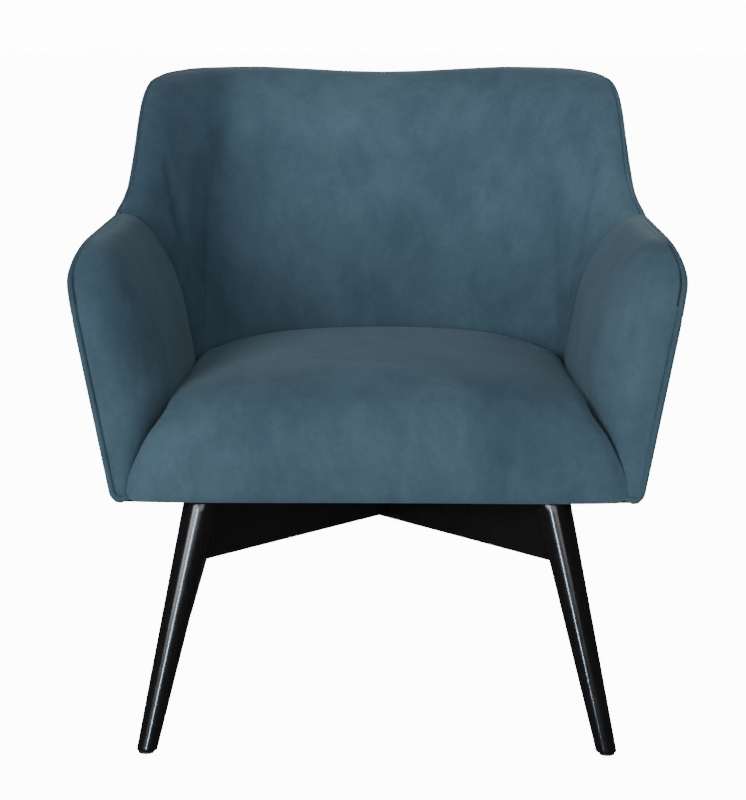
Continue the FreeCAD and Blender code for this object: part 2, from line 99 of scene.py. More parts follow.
@dataclass(frozen=True)
class Shell:
    """The form that arms and back share: straight arms, then a rounded tub.

    A place on it is a plan distance and a height. In front of plan_y the plan distance runs
    along an arm; behind it, an angle turns round the tub.
    """

    plan_y: float = 0.040
    front_y: float = -0.2925
    bottom: float = 0.291
    side_bottom: float = 0.3035
    side_lean: float = 0.19
    side_taper: float = 0.031
    arm_top: float = 0.588
    seat_level: float = 0.411
    power: float = 0.30
    corner_power: float = 2.6
    tuck: float = 0.020
    tuck_reach: float = 0.050
    seam_dip: float = 0.012
    seam_reach: float = 0.026
    arm_inner: Tuple[Row, ...] = (
        (-0.300, 0.250), (-0.250, 0.2475), (-0.200, 0.243), (-0.150, 0.238), (-0.060, 0.232), (0.040, 0.2315),
    )
    nose_inner: Tuple[Row, ...] = (
        (0.291, 0.2740), (0.314, 0.2680), (0.364, 0.2550), (0.399, 0.2490), (0.411, 0.2475),
    )
    inner_levels: Tuple[Row, ...] = (
        (0.411, 0.2315, 0.100, 2.10), (0.480, 0.2446, 0.121, 2.2),
        (0.560, 0.2600, 0.146, 2.4), (0.760, 0.2960, 0.204, 2.8),
    )
    outer_levels: Tuple[Row, ...] = (
        (0.291, 0.2934, 0.214, 3.2), (0.411, 0.3162, 0.236, 3.2), (0.500, 0.3331, 0.252, 3.2),
        (0.545, 0.3413, 0.261, 3.2), (0.558, 0.3409, 0.264, 3.2), (0.568, 0.3388, 0.266, 3.2),
        (0.578, 0.3351, 0.268, 3.2), (0.588, 0.3300, 0.270, 3.2), (0.602, 0.3262, 0.273, 3.25),
        (0.627, 0.3232, 0.281, 3.3), (0.650, 0.3214, 0.286, 3.3), (0.700, 0.3202, 0.2965, 3.35),
        (0.760, 0.3195, 0.3075, 3.4),
    )
    crest_line: Tuple[Row, ...] = (
        (0.0, 0.588), (5.0, 0.602), (9.0, 0.622), (13.0, 0.652), (17.0, 0.684), (21.0, 0.712), (25.0, 0.732),
        (29.0, 0.744), (36.0, 0.751), (45.0, 0.7545), (60.0, 0.7545), (70.0, 0.7515), (80.0, 0.7485),
        (90.0, 0.7475),
    )

    def arm_outer(self, y: Grid, z: Grid) -> Grid:
        """Half width over the arms."""
        plain = self.side_bottom + self.side_lean * (z - self.bottom)
        return plain - self.side_taper * (y + 0.285)

    def arm_deep(self, y: Grid, z: Grid) -> Grid:
        """Half width between the arms, before their tops and fronts are rounded."""
        above = between(self.arm_inner, y) + self.side_lean * np.maximum(0.0, z - self.seat_level)
        nose = np.where(z < self.seat_level, between(self.nose_inner, z), above)
        return np.where(z < self.seat_level, nose + (above - nose) * smooth((y + 0.250) / 0.040), above)

    def radius(self, levels: Sequence[Row], theta: Grid, z: Grid) -> Grid:
        """Distance from the tub's axis to a wall.

        Args:
            levels: rows of height, half width, depth and power of the plan curve.
            theta: angle from the right arm, in radians.
            z: height.

        Returns:
            The distance at each angle and height.
        """
        width, depth, power = (between(levels, z, column) for column in (1, 2, 3))
        across = (np.abs(np.cos(theta)) / width) ** power
        along = (np.abs(np.sin(theta)) / depth) ** power
        return (across + along) ** (-1.0 / power)

    def crest(self, theta: Grid) -> Grid:
        """Height of the tub's top edge at an angle."""
        turn = np.degrees(np.minimum(theta, math.pi - theta))
        keys = [row[0] for row in self.crest_line]
        heights = [row[1] for row in self.crest_line]
        spread = 1.6
        total = np.zeros_like(turn)
        for shift, weight in ((-spread, 0.25), (0.0, 0.5), (spread, 0.25)):
            total = total + weight * np.interp(np.abs(turn + shift), keys, heights)
        blend = smooth(turn / 4.0)
        return total * blend + np.interp(turn, keys, heights) * (1.0 - blend)

    def tucked(self, below_top: Grid, most: Optional[Grid] = None) -> Grid:
        """How far the outside turns in near its top edge.

        Args:
            below_top: distance below the edge.
            most: the turn at the edge itself, or None for an arm's.

        Returns:
            The distance in.
        """
        share = np.clip(1.0 - below_top / self.tuck_reach, 0.0, 1.0) ** 2
        return share * (self.tuck if most is None else most)

    def tub_tuck(self, theta: Grid) -> Grid:
        """The tub's turn at its edge: none where the arm's roll is in its levels, most at the back."""
        turn = np.degrees(np.minimum(theta, math.pi - theta))
        return 0.008 * smooth(turn / 12.0) + 0.010 * smooth((turn - 45.0) / 30.0)

    def dip(self, away: Grid) -> Grid:
        """How far a pad sinks towards the seam between arm and back."""
        return self.seam_dip * np.clip(1.0 - away / self.seam_reach, 0.0, 1.0) ** 2

    def fullness(self, edge: Grid) -> Grid:
        """Share of the wall's thickness, from 0 at the edge to 1 where it is full."""
        return np.clip(1.0 - np.clip(edge, 0.0, 1.0) ** 2, 0.0, 1.0) ** self.power


@dataclass(frozen=True)
class Ramp:
    """How far in from its front and top edges a pad reaches its full thickness."""

    front: float = 0.100
    top: float = 0.115


SHELL = Shell()
ARM_RAMP = Ramp()


def ramp_rows(within: int, beyond: int, ease: float = 1.9) -> Grid:
    """Row places from 0 at an edge, over 1 where the ramp ends, to 2 at the foot.

    Args:
        within: steps within the ramp, close together at the edge.
        beyond: even steps beyond it.
        ease: how strongly the first steps crowd towards the edge.

    Returns:
        within + beyond + 1 rising numbers.
    """
    inner = np.linspace(0.0, 1.0, within + 1) ** ease
    return np.concatenate([inner, np.linspace(1.0, 2.0, beyond + 1)[1:]])


class ArmSurface:
    """Maps a grid of distances behind an arm's front edge and row places onto its surfaces."""

    def __init__(self, along: Grid, rows: Grid, foot: Callable[[Grid], Grid]) -> None:
        """Work out places for the grid.

        Args:
            along: distances behind the front edge.
            rows: row places, as ramp_rows gives them.
            foot: height of the lowest row, from the distance behind the front.
        """
        front, top = ARM_RAMP.front, ARM_RAMP.top
        run, part = np.meshgrid(along, rows, indexing="ij")
        total = SHELL.arm_top - foot(run)
        drop = np.where(part <= 1.0, top * part, top + (total - top) * (part - 1.0))
        a = np.clip(1.0 - run / front, 0.0, 1.0)
        b = np.clip(1.0 - drop / top, 0.0, 1.0)
        largest = np.maximum(a, b)
        norm = (a ** SHELL.corner_power + b ** SHELL.corner_power) ** (1.0 / SHELL.corner_power)
        scale = np.where(norm > 1e-9, largest / np.maximum(norm, 1e-9), 1.0)
        run = np.where(run < front, front * (1.0 - a * scale), run)
        drop = np.where(drop < top, top * (1.0 - b * scale), drop)
        self.edge = largest
        self.drop = drop
        self.y = SHELL.front_y + run
        self.z = SHELL.arm_top - drop
        self.outer = SHELL.arm_outer(self.y, self.z) - SHELL.tucked(drop)
        self.deep = SHELL.arm_deep(self.y, self.z)

    def depth(self) -> Grid:
        """The pad's own depth in from the outside."""
        full = SHELL.fullness(self.edge)
        return full * (self.outer - self.deep - SHELL.dip(SHELL.plan_y - self.y))

    def at_depth(self, depth: Grid) -> Grid:
        """Points a distance in from the outside."""
        return np.stack([self.outer - depth, self.y, self.z], axis=-1)


class TubSurface:
    """Maps a grid of angles and row places onto the tub's surfaces."""

    def __init__(self, angles: Grid, rows: Grid, foot: float) -> None:
        """Work out places for the grid.

        Args:
            angles: angles round the tub, in radians.
            rows: row places, as ramp_rows gives them.
            foot: height of the lowest row.
        """
        theta, part = np.meshgrid(angles, rows, indexing="ij")
        near_arm = 1.0 - smooth(np.minimum(theta, math.pi - theta) / math.radians(34.0))
        ramp = 0.072 + (ARM_RAMP.top - 0.072) * near_arm
        crest = SHELL.crest(theta)
        rest = crest - ramp - foot
        drop = np.where(part <= 1.0, ramp * np.minimum(part, 1.0), ramp + rest * (part - 1.0))
        self.theta = theta
        self.drop = drop
        self.z = crest - drop
        self.edge = np.clip(1.0 - part, 0.0, 1.0)
        tuck = SHELL.tucked(drop, SHELL.tub_tuck(theta))
        self.outer = SHELL.radius(SHELL.outer_levels, theta, self.z) - tuck
        deep = SHELL.radius(SHELL.inner_levels, theta, self.z)
        self.deep = np.minimum(deep, self.outer - 0.02)

    def depth(self) -> Grid:
        """The pad's own depth in from the outside."""
        full = SHELL.fullness(self.edge)
        away = self.deep * np.minimum(self.theta, math.pi - self.theta)
        return full * (self.outer - self.deep - SHELL.dip(away))

    def at_depth(self, depth: Grid) -> Grid:
        """Points a distance in from the outside, towards the tub's axis."""
        radius = self.outer - depth
        x = radius * np.cos(self.theta)
        y = SHELL.plan_y + radius * np.sin(self.theta)
        return np.stack([x, y, self.z], axis=-1)


# ---------------------------------------------------------------- mesh helpers


def new_object(name: str, points: Sequence[Sequence[float]],
               faces: Sequence[Sequence[int]]) -> bpy.types.Object:
    """Make a smooth-shaded mesh object at the origin.

    Args:
        name: the piece's name.
        points: vertex places.
        faces: loops of vertex numbers.

    Returns:
        The new object, in the scene.
    """
    mesh = bpy.data.meshes.new(name)
    mesh.from_pydata([tuple(map(float, p)) for p in points], [], [tuple(map(int, f)) for f in faces])
    mesh.validate()
    mesh.shade_smooth()
    piece = bpy.data.objects.new(name, mesh)
    bpy.context.scene.collection.objects.link(piece)
    outward(piece)
    return piece


def outward(piece: bpy.types.Object) -> None:
    """Merge doubles and point every face of a closed mesh outwards."""
    work = bmesh.new()
    work.from_mesh(piece.data)
    bmesh.ops.remove_doubles(work, verts=work.verts, dist=1e-6)
    bmesh.ops.recalc_face_normals(work, faces=work.faces)
    work.to_mesh(piece.data)
    work.free()
    piece.data.shade_smooth()


def closed_slab(name: str, front: Grid, back: Grid) -> bpy.types.Object:
    """Join two matching grids of points into one closed mesh.

    Args:
        name: the piece's name.
        front: points of the visible face.
        back: points behind it.

    Returns:
        The closed object.
    """
    rows, columns = front.shape[:2]
    points = np.concatenate([front.reshape(-1, 3), back.reshape(-1, 3)])
    offset = rows * columns
    faces = []

    def at(i: int, j: int, layer: int) -> int:
        """Vertex number of a grid place."""
        return layer * offset + i * columns + j

    for i in range(rows - 1):
        for j in range(columns - 1):
            faces.append((at(i, j, 0), at(i + 1, j, 0), at(i + 1, j + 1, 0), at(i, j + 1, 0)))
            faces.append((at(i, j, 1), at(i, j + 1, 1), at(i + 1, j + 1, 1), at(i + 1, j, 1)))
    for j in range(columns - 1):
        for i in (0, rows - 1):
            faces.append((at(i, j, 0), at(i, j + 1, 0), at(i, j + 1, 1), at(i, j, 1)))
    for i in range(rows - 1):
        for j in (0, columns - 1):
            faces.append((at(i, j, 0), at(i, j, 1), at(i + 1, j, 1), at(i + 1, j, 0)))
    return new_object(name, points, faces)


def apply_modifiers(piece: bpy.types.Object) -> None:
    """Turn the evaluated piece into its plain mesh."""
    shot = piece.evaluated_get(bpy.context.evaluated_depsgraph_get())
    mesh = bpy.data.meshes.new_from_object(shot)
    piece.modifiers.clear()
    old = piece.data
    piece.data = mesh
    mesh.name = piece.name
    bpy.data.meshes.remove(old)
    piece.data.shade_smooth()


def subdivide(piece: bpy.types.Object, levels: int = 1) -> None:
    """Round a piece with a subdivision surface and keep the result."""
    modifier = piece.modifiers.new("round", "SUBSURF")
    modifier.levels = levels
    modifier.render_levels = levels
    apply_modifiers(piece)


def mirrored(name: str, piece: bpy.types.Object) -> bpy.types.Object:
    """A copy of a piece on the other side of the chair.

    Args:
        name: the copy's name.
        piece: the piece that is copied.

    Returns:
        The mirrored piece, facing outwards.
    """
    mesh = piece.data.copy()
    mesh.name = name
    copy = bpy.data.objects.new(name, mesh)
    bpy.context.scene.collection.objects.link(copy)
    places = np.empty(len(mesh.vertices) * 3)
    mesh.vertices.foreach_get("co", places)
    places.reshape(-1, 3)[:, 0] *= -1.0
    mesh.vertices.foreach_set("co", places)
    mesh.flip_normals()
    mesh.update()
    return copy


def ring_faces(rings: int, sides: int) -> List[Tuple[int, ...]]:
    """Faces of a closed round piece: strips between its rings, and a fan at each end.

    Args:
        rings: how many rings of points there are, in order.
        sides: points in each ring.

    Returns:
        Faces over the rings' points, which the two end points follow.
    """
    faces: List[Tuple[int, ...]] = []
    for i in range(rings - 1):
        low, high = i * sides, (i + 1) * sides
        for j in range(sides):
            k = (j + 1) % sides
            faces.append((low + j, low + k, high + k, high + j))
    first, last = rings * sides, rings * sides + 1
    top = (rings - 1) * sides
    for j in range(sides):
        k = (j + 1) % sides
        faces.append((first, k, j))
        faces.append((last, top + j, top + k))
    return faces


def tube(name: str, path: Grid, radius: float, sides: int = 12) -> bpy.types.Object:
    """A round tube along a path, drawn in at its two ends.

    Args:
        name: the piece's name.
        path: points on its centre line.
        radius: its radius.
        sides: points round it.

    Returns:
        The closed tube.
    """
    path = np.asarray(path, dtype=float)
    ways = np.gradient(path, axis=0)
    ways /= np.linalg.norm(ways, axis=1)[:, None]
    normal = np.cross(ways[0], (0.0, 0.0, 1.0))
    if np.linalg.norm(normal) < 1e-3:
        normal = np.cross(ways[0], (0.0, 1.0, 0.0))
    rings: List[Grid] = []
    sizes = [radius] * len(path)
    sizes[0] = sizes[-1] = radius * 0.55
    turns = np.linspace(0.0, 2.0 * math.pi, sides, endpoint=False)
    for point, way, size in zip(path, ways, sizes):
        normal = normal - way * np.dot(normal, way)
        normal = normal / np.linalg.norm(normal)
        other = np.cross(way, normal)
        rings.append(point + size * (np.cos(turns)[:, None] * normal + np.sin(turns)[:, None] * other))
    points = np.concatenate(rings + [path[:1], path[-1:]])
    return new_object(name, points, ring_faces(len(path), sides))


# ---------------------------------------------------------------- cloth


@dataclass(frozen=True)
class Stuffing:
    """How a sewn cover swells over its filling."""

    pressure: float = 4.0
    frames: int = 20
    cap: float = 0.006
    tension: float = 40.0
    bending: float = 6.0

    def swell(self, piece: bpy.types.Object, free: Grid) -> None:
        """Inflate a piece with cloth and keep the result.

        Args:
            piece: the closed mesh, moved in place.
            free: for each vertex, 1 where it may move fully and 0 where it is held.
        """
        group = piece.vertex_groups.new(name="held")
        for index, share in enumerate(free):
            if share < 0.02:
                group.add([index], 1.0, "REPLACE")
        start = vertices(piece)
        modifier = piece.modifiers.new("cover", "CLOTH")
        settings = modifier.settings
        settings.quality = 5
        settings.use_pressure = True
        settings.uniform_pressure_force = self.pressure
        settings.tension_stiffness = self.tension
        settings.compression_stiffness = self.tension * 0.5
        settings.shear_stiffness = self.tension * 0.4
        settings.bending_stiffness = self.bending
        settings.effector_weights.gravity = 0.0
        settings.vertex_group_mass = "held"
        modifier.collision_settings.use_collision = False
        modifier.collision_settings.use_self_collision = False
        modifier.point_cache.frame_start = 1
        modifier.point_cache.frame_end = self.frames
        scene = bpy.context.scene
        for step in range(1, self.frames + 1):
            scene.frame_set(step)
        shot = piece.evaluated_get(bpy.context.evaluated_depsgraph_get())
        moved = np.empty(len(shot.data.vertices) * 3)
        shot.data.vertices.foreach_get("co", moved)
        shift = moved.reshape(-1, 3) - start
        size = np.linalg.norm(shift, axis=1)
        limit = self.cap * np.asarray(free)
        capped = np.tanh(size / np.maximum(limit, 1e-6)) * limit
        factor = np.where(size > 1e-9, capped / np.maximum(size, 1e-9), 0.0)
        piece.modifiers.clear()
        piece.vertex_groups.clear()
        set_vertices(piece, start + shift * factor[:, None])
        scene.frame_set(1)
        LOG.info("%s swelled by up to %.1f mm", piece.name, 1000.0 * float((size * factor).max()))


def vertices(piece: bpy.types.Object) -> Grid:
    """The piece's vertex places."""
    flat = np.empty(len(piece.data.vertices) * 3)
    piece.data.vertices.foreach_get("co", flat)
    return flat.reshape(-1, 3)


def set_vertices(piece: bpy.types.Object, places: Grid) -> None:
    """Move the piece's vertices."""
    piece.data.vertices.foreach_set("co", np.asarray(places, dtype=float).ravel())
    piece.data.update()


def normals(piece: bpy.types.Object) -> Grid:
    """The piece's vertex normals."""
    flat = np.empty(len(piece.data.vertices) * 3)
    piece.data.vertex_normals.foreach_get("vector", flat)
    return flat.reshape(-1, 3)


@dataclass(frozen=True)
class Crease:
    """A soft line or dimple pressed into a cover."""

    start: Tuple[float, float, float]
    end: Tuple[float, float, float]
    width: float
    depth: float

    def press(self, piece: bpy.types.Object) -> None:
        """Move the piece's vertices near the line, in along their normals."""
        places = vertices(piece)
        a, b = np.array(self.start), np.array(self.end)
        way = b - a
        share = np.clip(((places - a) @ way) / (way @ way), 0.0, 1.0)
        away = np.linalg.norm(places - (a + share[:, None] * way), axis=1)
        taper = np.sin(math.pi * np.clip(share, 0.03, 0.97)) ** 0.6
        depth = self.depth * np.exp(-((away / self.width) ** 2)) * taper
        set_vertices(piece, places - normals(piece) * depth[:, None])


def ripple(piece: bpy.types.Object, scale: Tuple[float, float, float], depth: float, seed: float) -> None:
    """Press faint, broad unevenness of hand-laid wadding into a cover.

    Args:
        piece: the cover.
        scale: waves per metre along each axis.
        depth: the largest move.
        seed: shifts the pattern.
    """
    places = vertices(piece)
    pull = np.array([
        noise.noise(Vector((p[0] * scale[0] + seed, p[1] * scale[1], p[2] * scale[2])))
        for p in places
    ])
    set_vertices(piece, places + normals(piece) * (depth * pull)[:, None])


# ---------------------------------------------------------------- finishes


class Nodes:
    """Shorthand for building one material's node tree."""

    def __init__(self, name: str) -> None:
        """Start an empty material with a Principled shader."""
        self.material = bpy.data.materials.new(name)
        self.material.use_nodes = True
        self.tree = self.material.node_tree
        self.tree.nodes.clear()
        self.output = self.add("ShaderNodeOutputMaterial")
        self.shader = self.add("ShaderNodeBsdfPrincipled")
        self.link(self.shader, "BSDF", self.output, "Surface")

    def add(self, kind: str, **settings: object) -> bpy.types.Node:
        """Add a node and set its own properties."""
        node = self.tree.nodes.new(kind)
        for key, value in settings.items():
            setattr(node, key, value)
        return node

    def link(self, source: bpy.types.Node, out: str, target: bpy.types.Node, into: object) -> None:
        """Join one node's output to another's input, by name or number."""
        self.tree.links.new(source.outputs[out], target.inputs[into])

    def coordinates(self, scale: Tuple[float, float, float] = (1.0, 1.0, 1.0)) -> bpy.types.Node:
        """Object coordinates through a Mapping node."""
        place = self.add("ShaderNodeTexCoord")
        mapping = self.add("ShaderNodeMapping")
        mapping.inputs["Scale"].default_value = scale
        self.link(place, "Object", mapping, "Vector")
        return mapping

    def noise(self, vector: bpy.types.Node, scale: float, detail: float, rough: float = 0.5,
              distortion: float = 0.0) -> bpy.types.Node:
        """A noise texture on a vector."""
        node = self.add("ShaderNodeTexNoise")
        node.inputs["Scale"].default_value = scale
        node.inputs["Detail"].default_value = detail
        node.inputs["Roughness"].default_value = rough
        node.inputs["Distortion"].default_value = distortion
        self.link(vector, "Vector", node, "Vector")
        return node

    def ramp(self, source: bpy.types.Node, out: str, stops: Sequence[Tuple[float, Row]]) -> bpy.types.Node:
        """A colour ramp over a value."""
        node = self.add("ShaderNodeValToRGB")
        elements = node.color_ramp.elements
        while len(elements) < len(stops):
            elements.new(0.5)
        for element, (place, colour) in zip(elements, stops):
            element.position = place
            element.color = tuple(colour) + (1.0,)
        self.link(source, out, node, "Fac")
        return node

    def mix(self, factor: object, first: object, second: object, blend: str = "MIX") -> bpy.types.Node:
        """Mix two colours, each a node's output or a plain colour."""
        node = self.add("ShaderNodeMix", data_type="RGBA", blend_type=blend)
        for socket, value in ((node.inputs[0], factor), (node.inputs[6], first), (node.inputs[7], second)):
            if isinstance(value, bpy.types.NodeSocket):
                self.tree.links.new(value, socket)
            elif isinstance(value, (int, float)):
                socket.default_value = value
            else:
                socket.default_value = tuple(value) + (1.0,)
        return node

    def span(self, value: bpy.types.NodeSocket, low: float, high: float) -> bpy.types.Node:
        """A smooth step from 0 at one value to 1 at another."""
        node = self.add("ShaderNodeMapRange", interpolation_type="SMOOTHSTEP")
        node.inputs["From Min"].default_value = low
        node.inputs["From Max"].default_value = high
        self.tree.links.new(value, node.inputs["Value"])
        return node

    def bump(self, height: bpy.types.NodeSocket, strength: float, distance: float,
             before: Optional[bpy.types.Node] = None) -> bpy.types.Node:
        """A bump from a height, on top of an earlier one."""
        node = self.add("ShaderNodeBump")
        node.inputs["Strength"].default_value = strength
        node.inputs["Distance"].default_value = distance
        self.tree.links.new(height, node.inputs["Height"])
        if before is not None:
            self.link(before, "Normal", node, "Normal")
        return node

    def times(self, first: bpy.types.Node, second: bpy.types.Node) -> bpy.types.Node:
        """One value multiplied by another."""
        node = self.add("ShaderNodeMath", operation="MULTIPLY")
        self.tree.links.new(first.outputs[0], node.inputs[0])
        self.tree.links.new(second.outputs[0], node.inputs[1])
        return node

    def set(self, **values: object) -> None:
        """Set plain numbers on the shader's own sockets."""
        for key, value in values.items():
            self.shader.inputs[key.replace("_", " ")].default_value = value


@dataclass(frozen=True)
class Velvet:
    """Short-piled velvet whose nap lies in clouds of lighter and darker cloth, with painted light across the
    back and painted shade inside the left arm.
    """

    name: str = "blue_velvet"
    deep: Row = (0.058, 0.104, 0.143)
    middle: Row = (0.071, 0.125, 0.168)
    light: Row = (0.086, 0.147, 0.193)
    sheen: float = 0.22
    sheen_tint: Row = (0.50, 0.66, 0.76, 1.0)
    # Painted light across the back and painted shade inside the left arm: where they change the tone, in
    # metres on the chair, and what the colour is multiplied by there
    back_slant: float = 0.38
    back_depth: Tuple[float, float] = (0.02, 0.19)
    back_height: Tuple[float, float] = (0.43, 0.62)
    arm_outer_x: Tuple[float, float] = (-0.335, -0.285)
    arm_inner_x: Tuple[float, float] = (-0.175, -0.225)
    arm_height: Tuple[float, float] = (0.40, 0.50)
    plain_tone: Row = (0.93, 0.93, 0.93)
    painted_back_light: Row = (1.34, 1.31, 1.30)
    painted_arm_shade: Row = (0.74, 0.77, 0.79)

    def make(self) -> bpy.types.Material:
        """Build the material."""
        nodes = Nodes(self.name)
        place = nodes.coordinates()
        clouds = nodes.noise(nodes.coordinates((1.0, 1.0, 0.7)), 6.0, 5.0, 0.62, 0.35)
        strokes = nodes.noise(nodes.coordinates((1.6, 1.6, 0.9)), 17.0, 5.0, 0.60, 0.5)
        pile = nodes.noise(place, 1100.0, 2.0, 0.7)
        crushed = nodes.noise(place, 170.0, 4.0, 0.65)
        base = nodes.ramp(clouds, "Fac", ((0.32, self.deep), (0.50, self.middle), (0.70, self.light)))
        streaks = nodes.ramp(strokes, "Fac", ((0.36, (0.88, 0.89, 0.90)), (0.62, (1.08, 1.08, 1.07))))
        grain = nodes.ramp(crushed, "Fac", ((0.30, (0.93, 0.93, 0.93)), (0.70, (1.05, 1.05, 1.05))))
        fibre = nodes.ramp(pile, "Fac", ((0.25, (0.86, 0.86, 0.86)), (0.75, (1.10, 1.10, 1.10))))
        coloured = nodes.mix(0.8, base.outputs["Color"], streaks.outputs["Color"], "MULTIPLY")
        # painted light across the back and painted shade inside the left arm, multiplied into the velvet's
        # colour
        painted_light_and_shade = self.painted_light_and_shade(nodes, place)
        coloured = nodes.mix(1.0, coloured.outputs[2], painted_light_and_shade.outputs[2], "MULTIPLY")
        coloured = nodes.mix(0.9, coloured.outputs[2], grain.outputs["Color"], "MULTIPLY")
        coloured = nodes.mix(0.8, coloured.outputs[2], fibre.outputs["Color"], "MULTIPLY")
        nodes.tree.links.new(coloured.outputs[2], nodes.shader.inputs["Base Color"])
        rough = nodes.ramp(crushed, "Fac", ((0.3, (0.84, 0.84, 0.84)), (0.7, (0.96, 0.96, 0.96))))
        nodes.tree.links.new(rough.outputs["Color"], nodes.shader.inputs["Roughness"])
        soft = nodes.bump(strokes.outputs["Fac"], 0.15, 0.003)
        mid = nodes.bump(crushed.outputs["Fac"], 0.25, 0.0007, soft)
        fine = nodes.bump(pile.outputs["Fac"], 0.35, 0.0003, mid)
        nodes.link(fine, "Normal", nodes.shader, "Normal")
        nodes.set(Sheen_Weight=self.sheen, Sheen_Roughness=0.5, Sheen_Tint=self.sheen_tint)
        nodes.set(Specular_IOR_Level=0.10)
        return nodes.material


    def painted_light_and_shade(self, nodes: Nodes, place: bpy.types.Node) -> bpy.types.Node:
        """Painted light across the back and painted shade inside the left arm, by place on the chair.

        The tones were matched to one chair seen from the front, and their light and dark are that chair's
        lighting painted into the colour. It isn't symmetric and shows all round.

        Args:
            nodes: the velvet's nodes.
            place: the node that gives the place on the chair.

        Returns:
            A Mix node whose colour multiplies the velvet's own.
        """
        parts = nodes.add("ShaderNodeSeparateXYZ")
        nodes.link(place, "Vector", parts, "Vector")
        slant = nodes.add("ShaderNodeMath", operation="MULTIPLY_ADD")
        nodes.link(parts, "X", slant, 0)
        slant.inputs[1].default_value = self.back_slant
        nodes.link(parts, "Y", slant, 2)
        back = nodes.span(slant.outputs[0], *self.back_depth)
        up = nodes.times(back, nodes.span(parts.outputs["Z"], *self.back_height))
        outer = nodes.span(parts.outputs["X"], *self.arm_outer_x)
        arm = nodes.times(outer, nodes.span(parts.outputs["X"], *self.arm_inner_x))
        shaded = nodes.times(arm, nodes.span(parts.outputs["Z"], *self.arm_height))
        lifted = nodes.mix(up.outputs[0], self.plain_tone, self.painted_back_light)
        return nodes.mix(shaded.outputs[0], lifted.outputs[2], self.painted_arm_shade)


@dataclass(frozen=True)
class Lacquer:
    """Black lacquer with a high polish over wood."""

    name: str = "black_lacquer"
    colour: Row = (0.006, 0.006, 0.0075)

    def make(self) -> bpy.types.Material:
        """Build the material."""
        nodes = Nodes(self.name)
        grain = nodes.noise(nodes.coordinates((90.0, 90.0, 5.0)), 4.0, 6.0, 0.6, 0.5)
        flow = nodes.noise(nodes.coordinates(), 40.0, 3.0)
        tone = nodes.ramp(grain, "Fac", ((0.3, self.colour), (0.75, (0.013, 0.011, 0.012))))
        nodes.link(tone, "Color", nodes.shader, "Base Color")
        gloss = nodes.ramp(flow, "Fac", ((0.3, (0.17, 0.17, 0.17)), (0.7, (0.23, 0.23, 0.23))))
        nodes.link(gloss, "Color", nodes.shader, "Roughness")
        wave = nodes.bump(flow.outputs["Fac"], 0.12, 0.0004)
        pores = nodes.bump(grain.outputs["Fac"], 0.05, 0.0002, wave)
        nodes.link(pores, "Normal", nodes.shader, "Normal")
        nodes.set(Specular_IOR_Level=0.50, Coat_Weight=0.20, Coat_Roughness=0.08)
        return nodes.material


@dataclass(frozen=True)
class Timber:
    """Plain sawn wood or board."""

    name: str
    light: Row
    dark: Row
    stretch: Tuple[float, float, float] = (3.0, 3.0, 40.0)

    def make(self) -> bpy.types.Material:
        """Build the material."""
        nodes = Nodes(self.name)
        rings = nodes.noise(nodes.coordinates(self.stretch), 3.0, 8.0, 0.6, 1.0)
        tone = nodes.ramp(rings, "Fac", ((0.3, self.dark), (0.7, self.light)))
        nodes.link(tone, "Color", nodes.shader, "Base Color")
        saw = nodes.bump(rings.outputs["Fac"], 0.3, 0.0006)
        nodes.link(saw, "Normal", nodes.shader, "Normal")
        nodes.set(Roughness=0.7)
        return nodes.material


@dataclass(frozen=True)
class Cloth:
    """A plain woven or needled cloth."""

    name: str
    light: Row
    dark: Row
    threads: float = 900.0
    roughness: float = 0.9

    def make(self) -> bpy.types.Material:
        """Build the material."""
        nodes = Nodes(self.name)
        place = nodes.coordinates()
        weave = []
        for axis in ("X", "Y"):
            wave = nodes.add("ShaderNodeTexWave", wave_type="BANDS", bands_direction=axis)
            wave.inputs["Scale"].default_value = self.threads
            wave.inputs["Distortion"].default_value = 0.4
            nodes.link(place, "Vector", wave, "Vector")
            weave.append(wave)
        both = nodes.mix(0.5, weave[0].outputs["Color"], weave[1].outputs["Color"])
        blot = nodes.noise(place, 30.0, 4.0)
        tone = nodes.ramp(blot, "Fac", ((0.3, self.dark), (0.7, self.light)))
        nodes.link(tone, "Color", nodes.shader, "Base Color")
        knit = nodes.bump(both.outputs[2], 0.3, 0.0003)
        nodes.link(knit, "Normal", nodes.shader, "Normal")
        nodes.set(Roughness=self.roughness)
        return nodes.material


@dataclass(frozen=True)
class Metal:
    """Zinc-plated steel."""

    name: str = "zinc_steel"
    colour: Row = (0.60, 0.60, 0.58)

    def make(self) -> bpy.types.Material:
        """Build the material."""
        nodes = Nodes(self.name)
        cloud = nodes.noise(nodes.coordinates(), 120.0, 4.0)
        tone = nodes.ramp(cloud, "Fac", ((0.3, tuple(0.8 * c for c in self.colour)), (0.7, self.colour)))
        nodes.link(tone, "Color", nodes.shader, "Base Color")
        nodes.set(Metallic=1.0, Roughness=0.38)
        return nodes.material


@dataclass(frozen=True)
class Plastic:
    """Moulded plastic with a fine spark-eroded texture."""

    name: str = "glide_plastic"
    colour: Row = (0.03, 0.03, 0.032)

    def make(self) -> bpy.types.Material:
        """Build the material."""
        nodes = Nodes(self.name)
        grit = nodes.noise(nodes.coordinates(), 1500.0, 2.0)
        tone = nodes.ramp(grit, "Fac", ((0.3, self.colour), (0.7, tuple(1.5 * c for c in self.colour))))
        nodes.link(tone, "Color", nodes.shader, "Base Color")
        rough = nodes.bump(grit.outputs["Fac"], 0.2, 0.0002)
        nodes.link(rough, "Normal", nodes.shader, "Normal")
        nodes.set(Roughness=0.5)
        return nodes.material


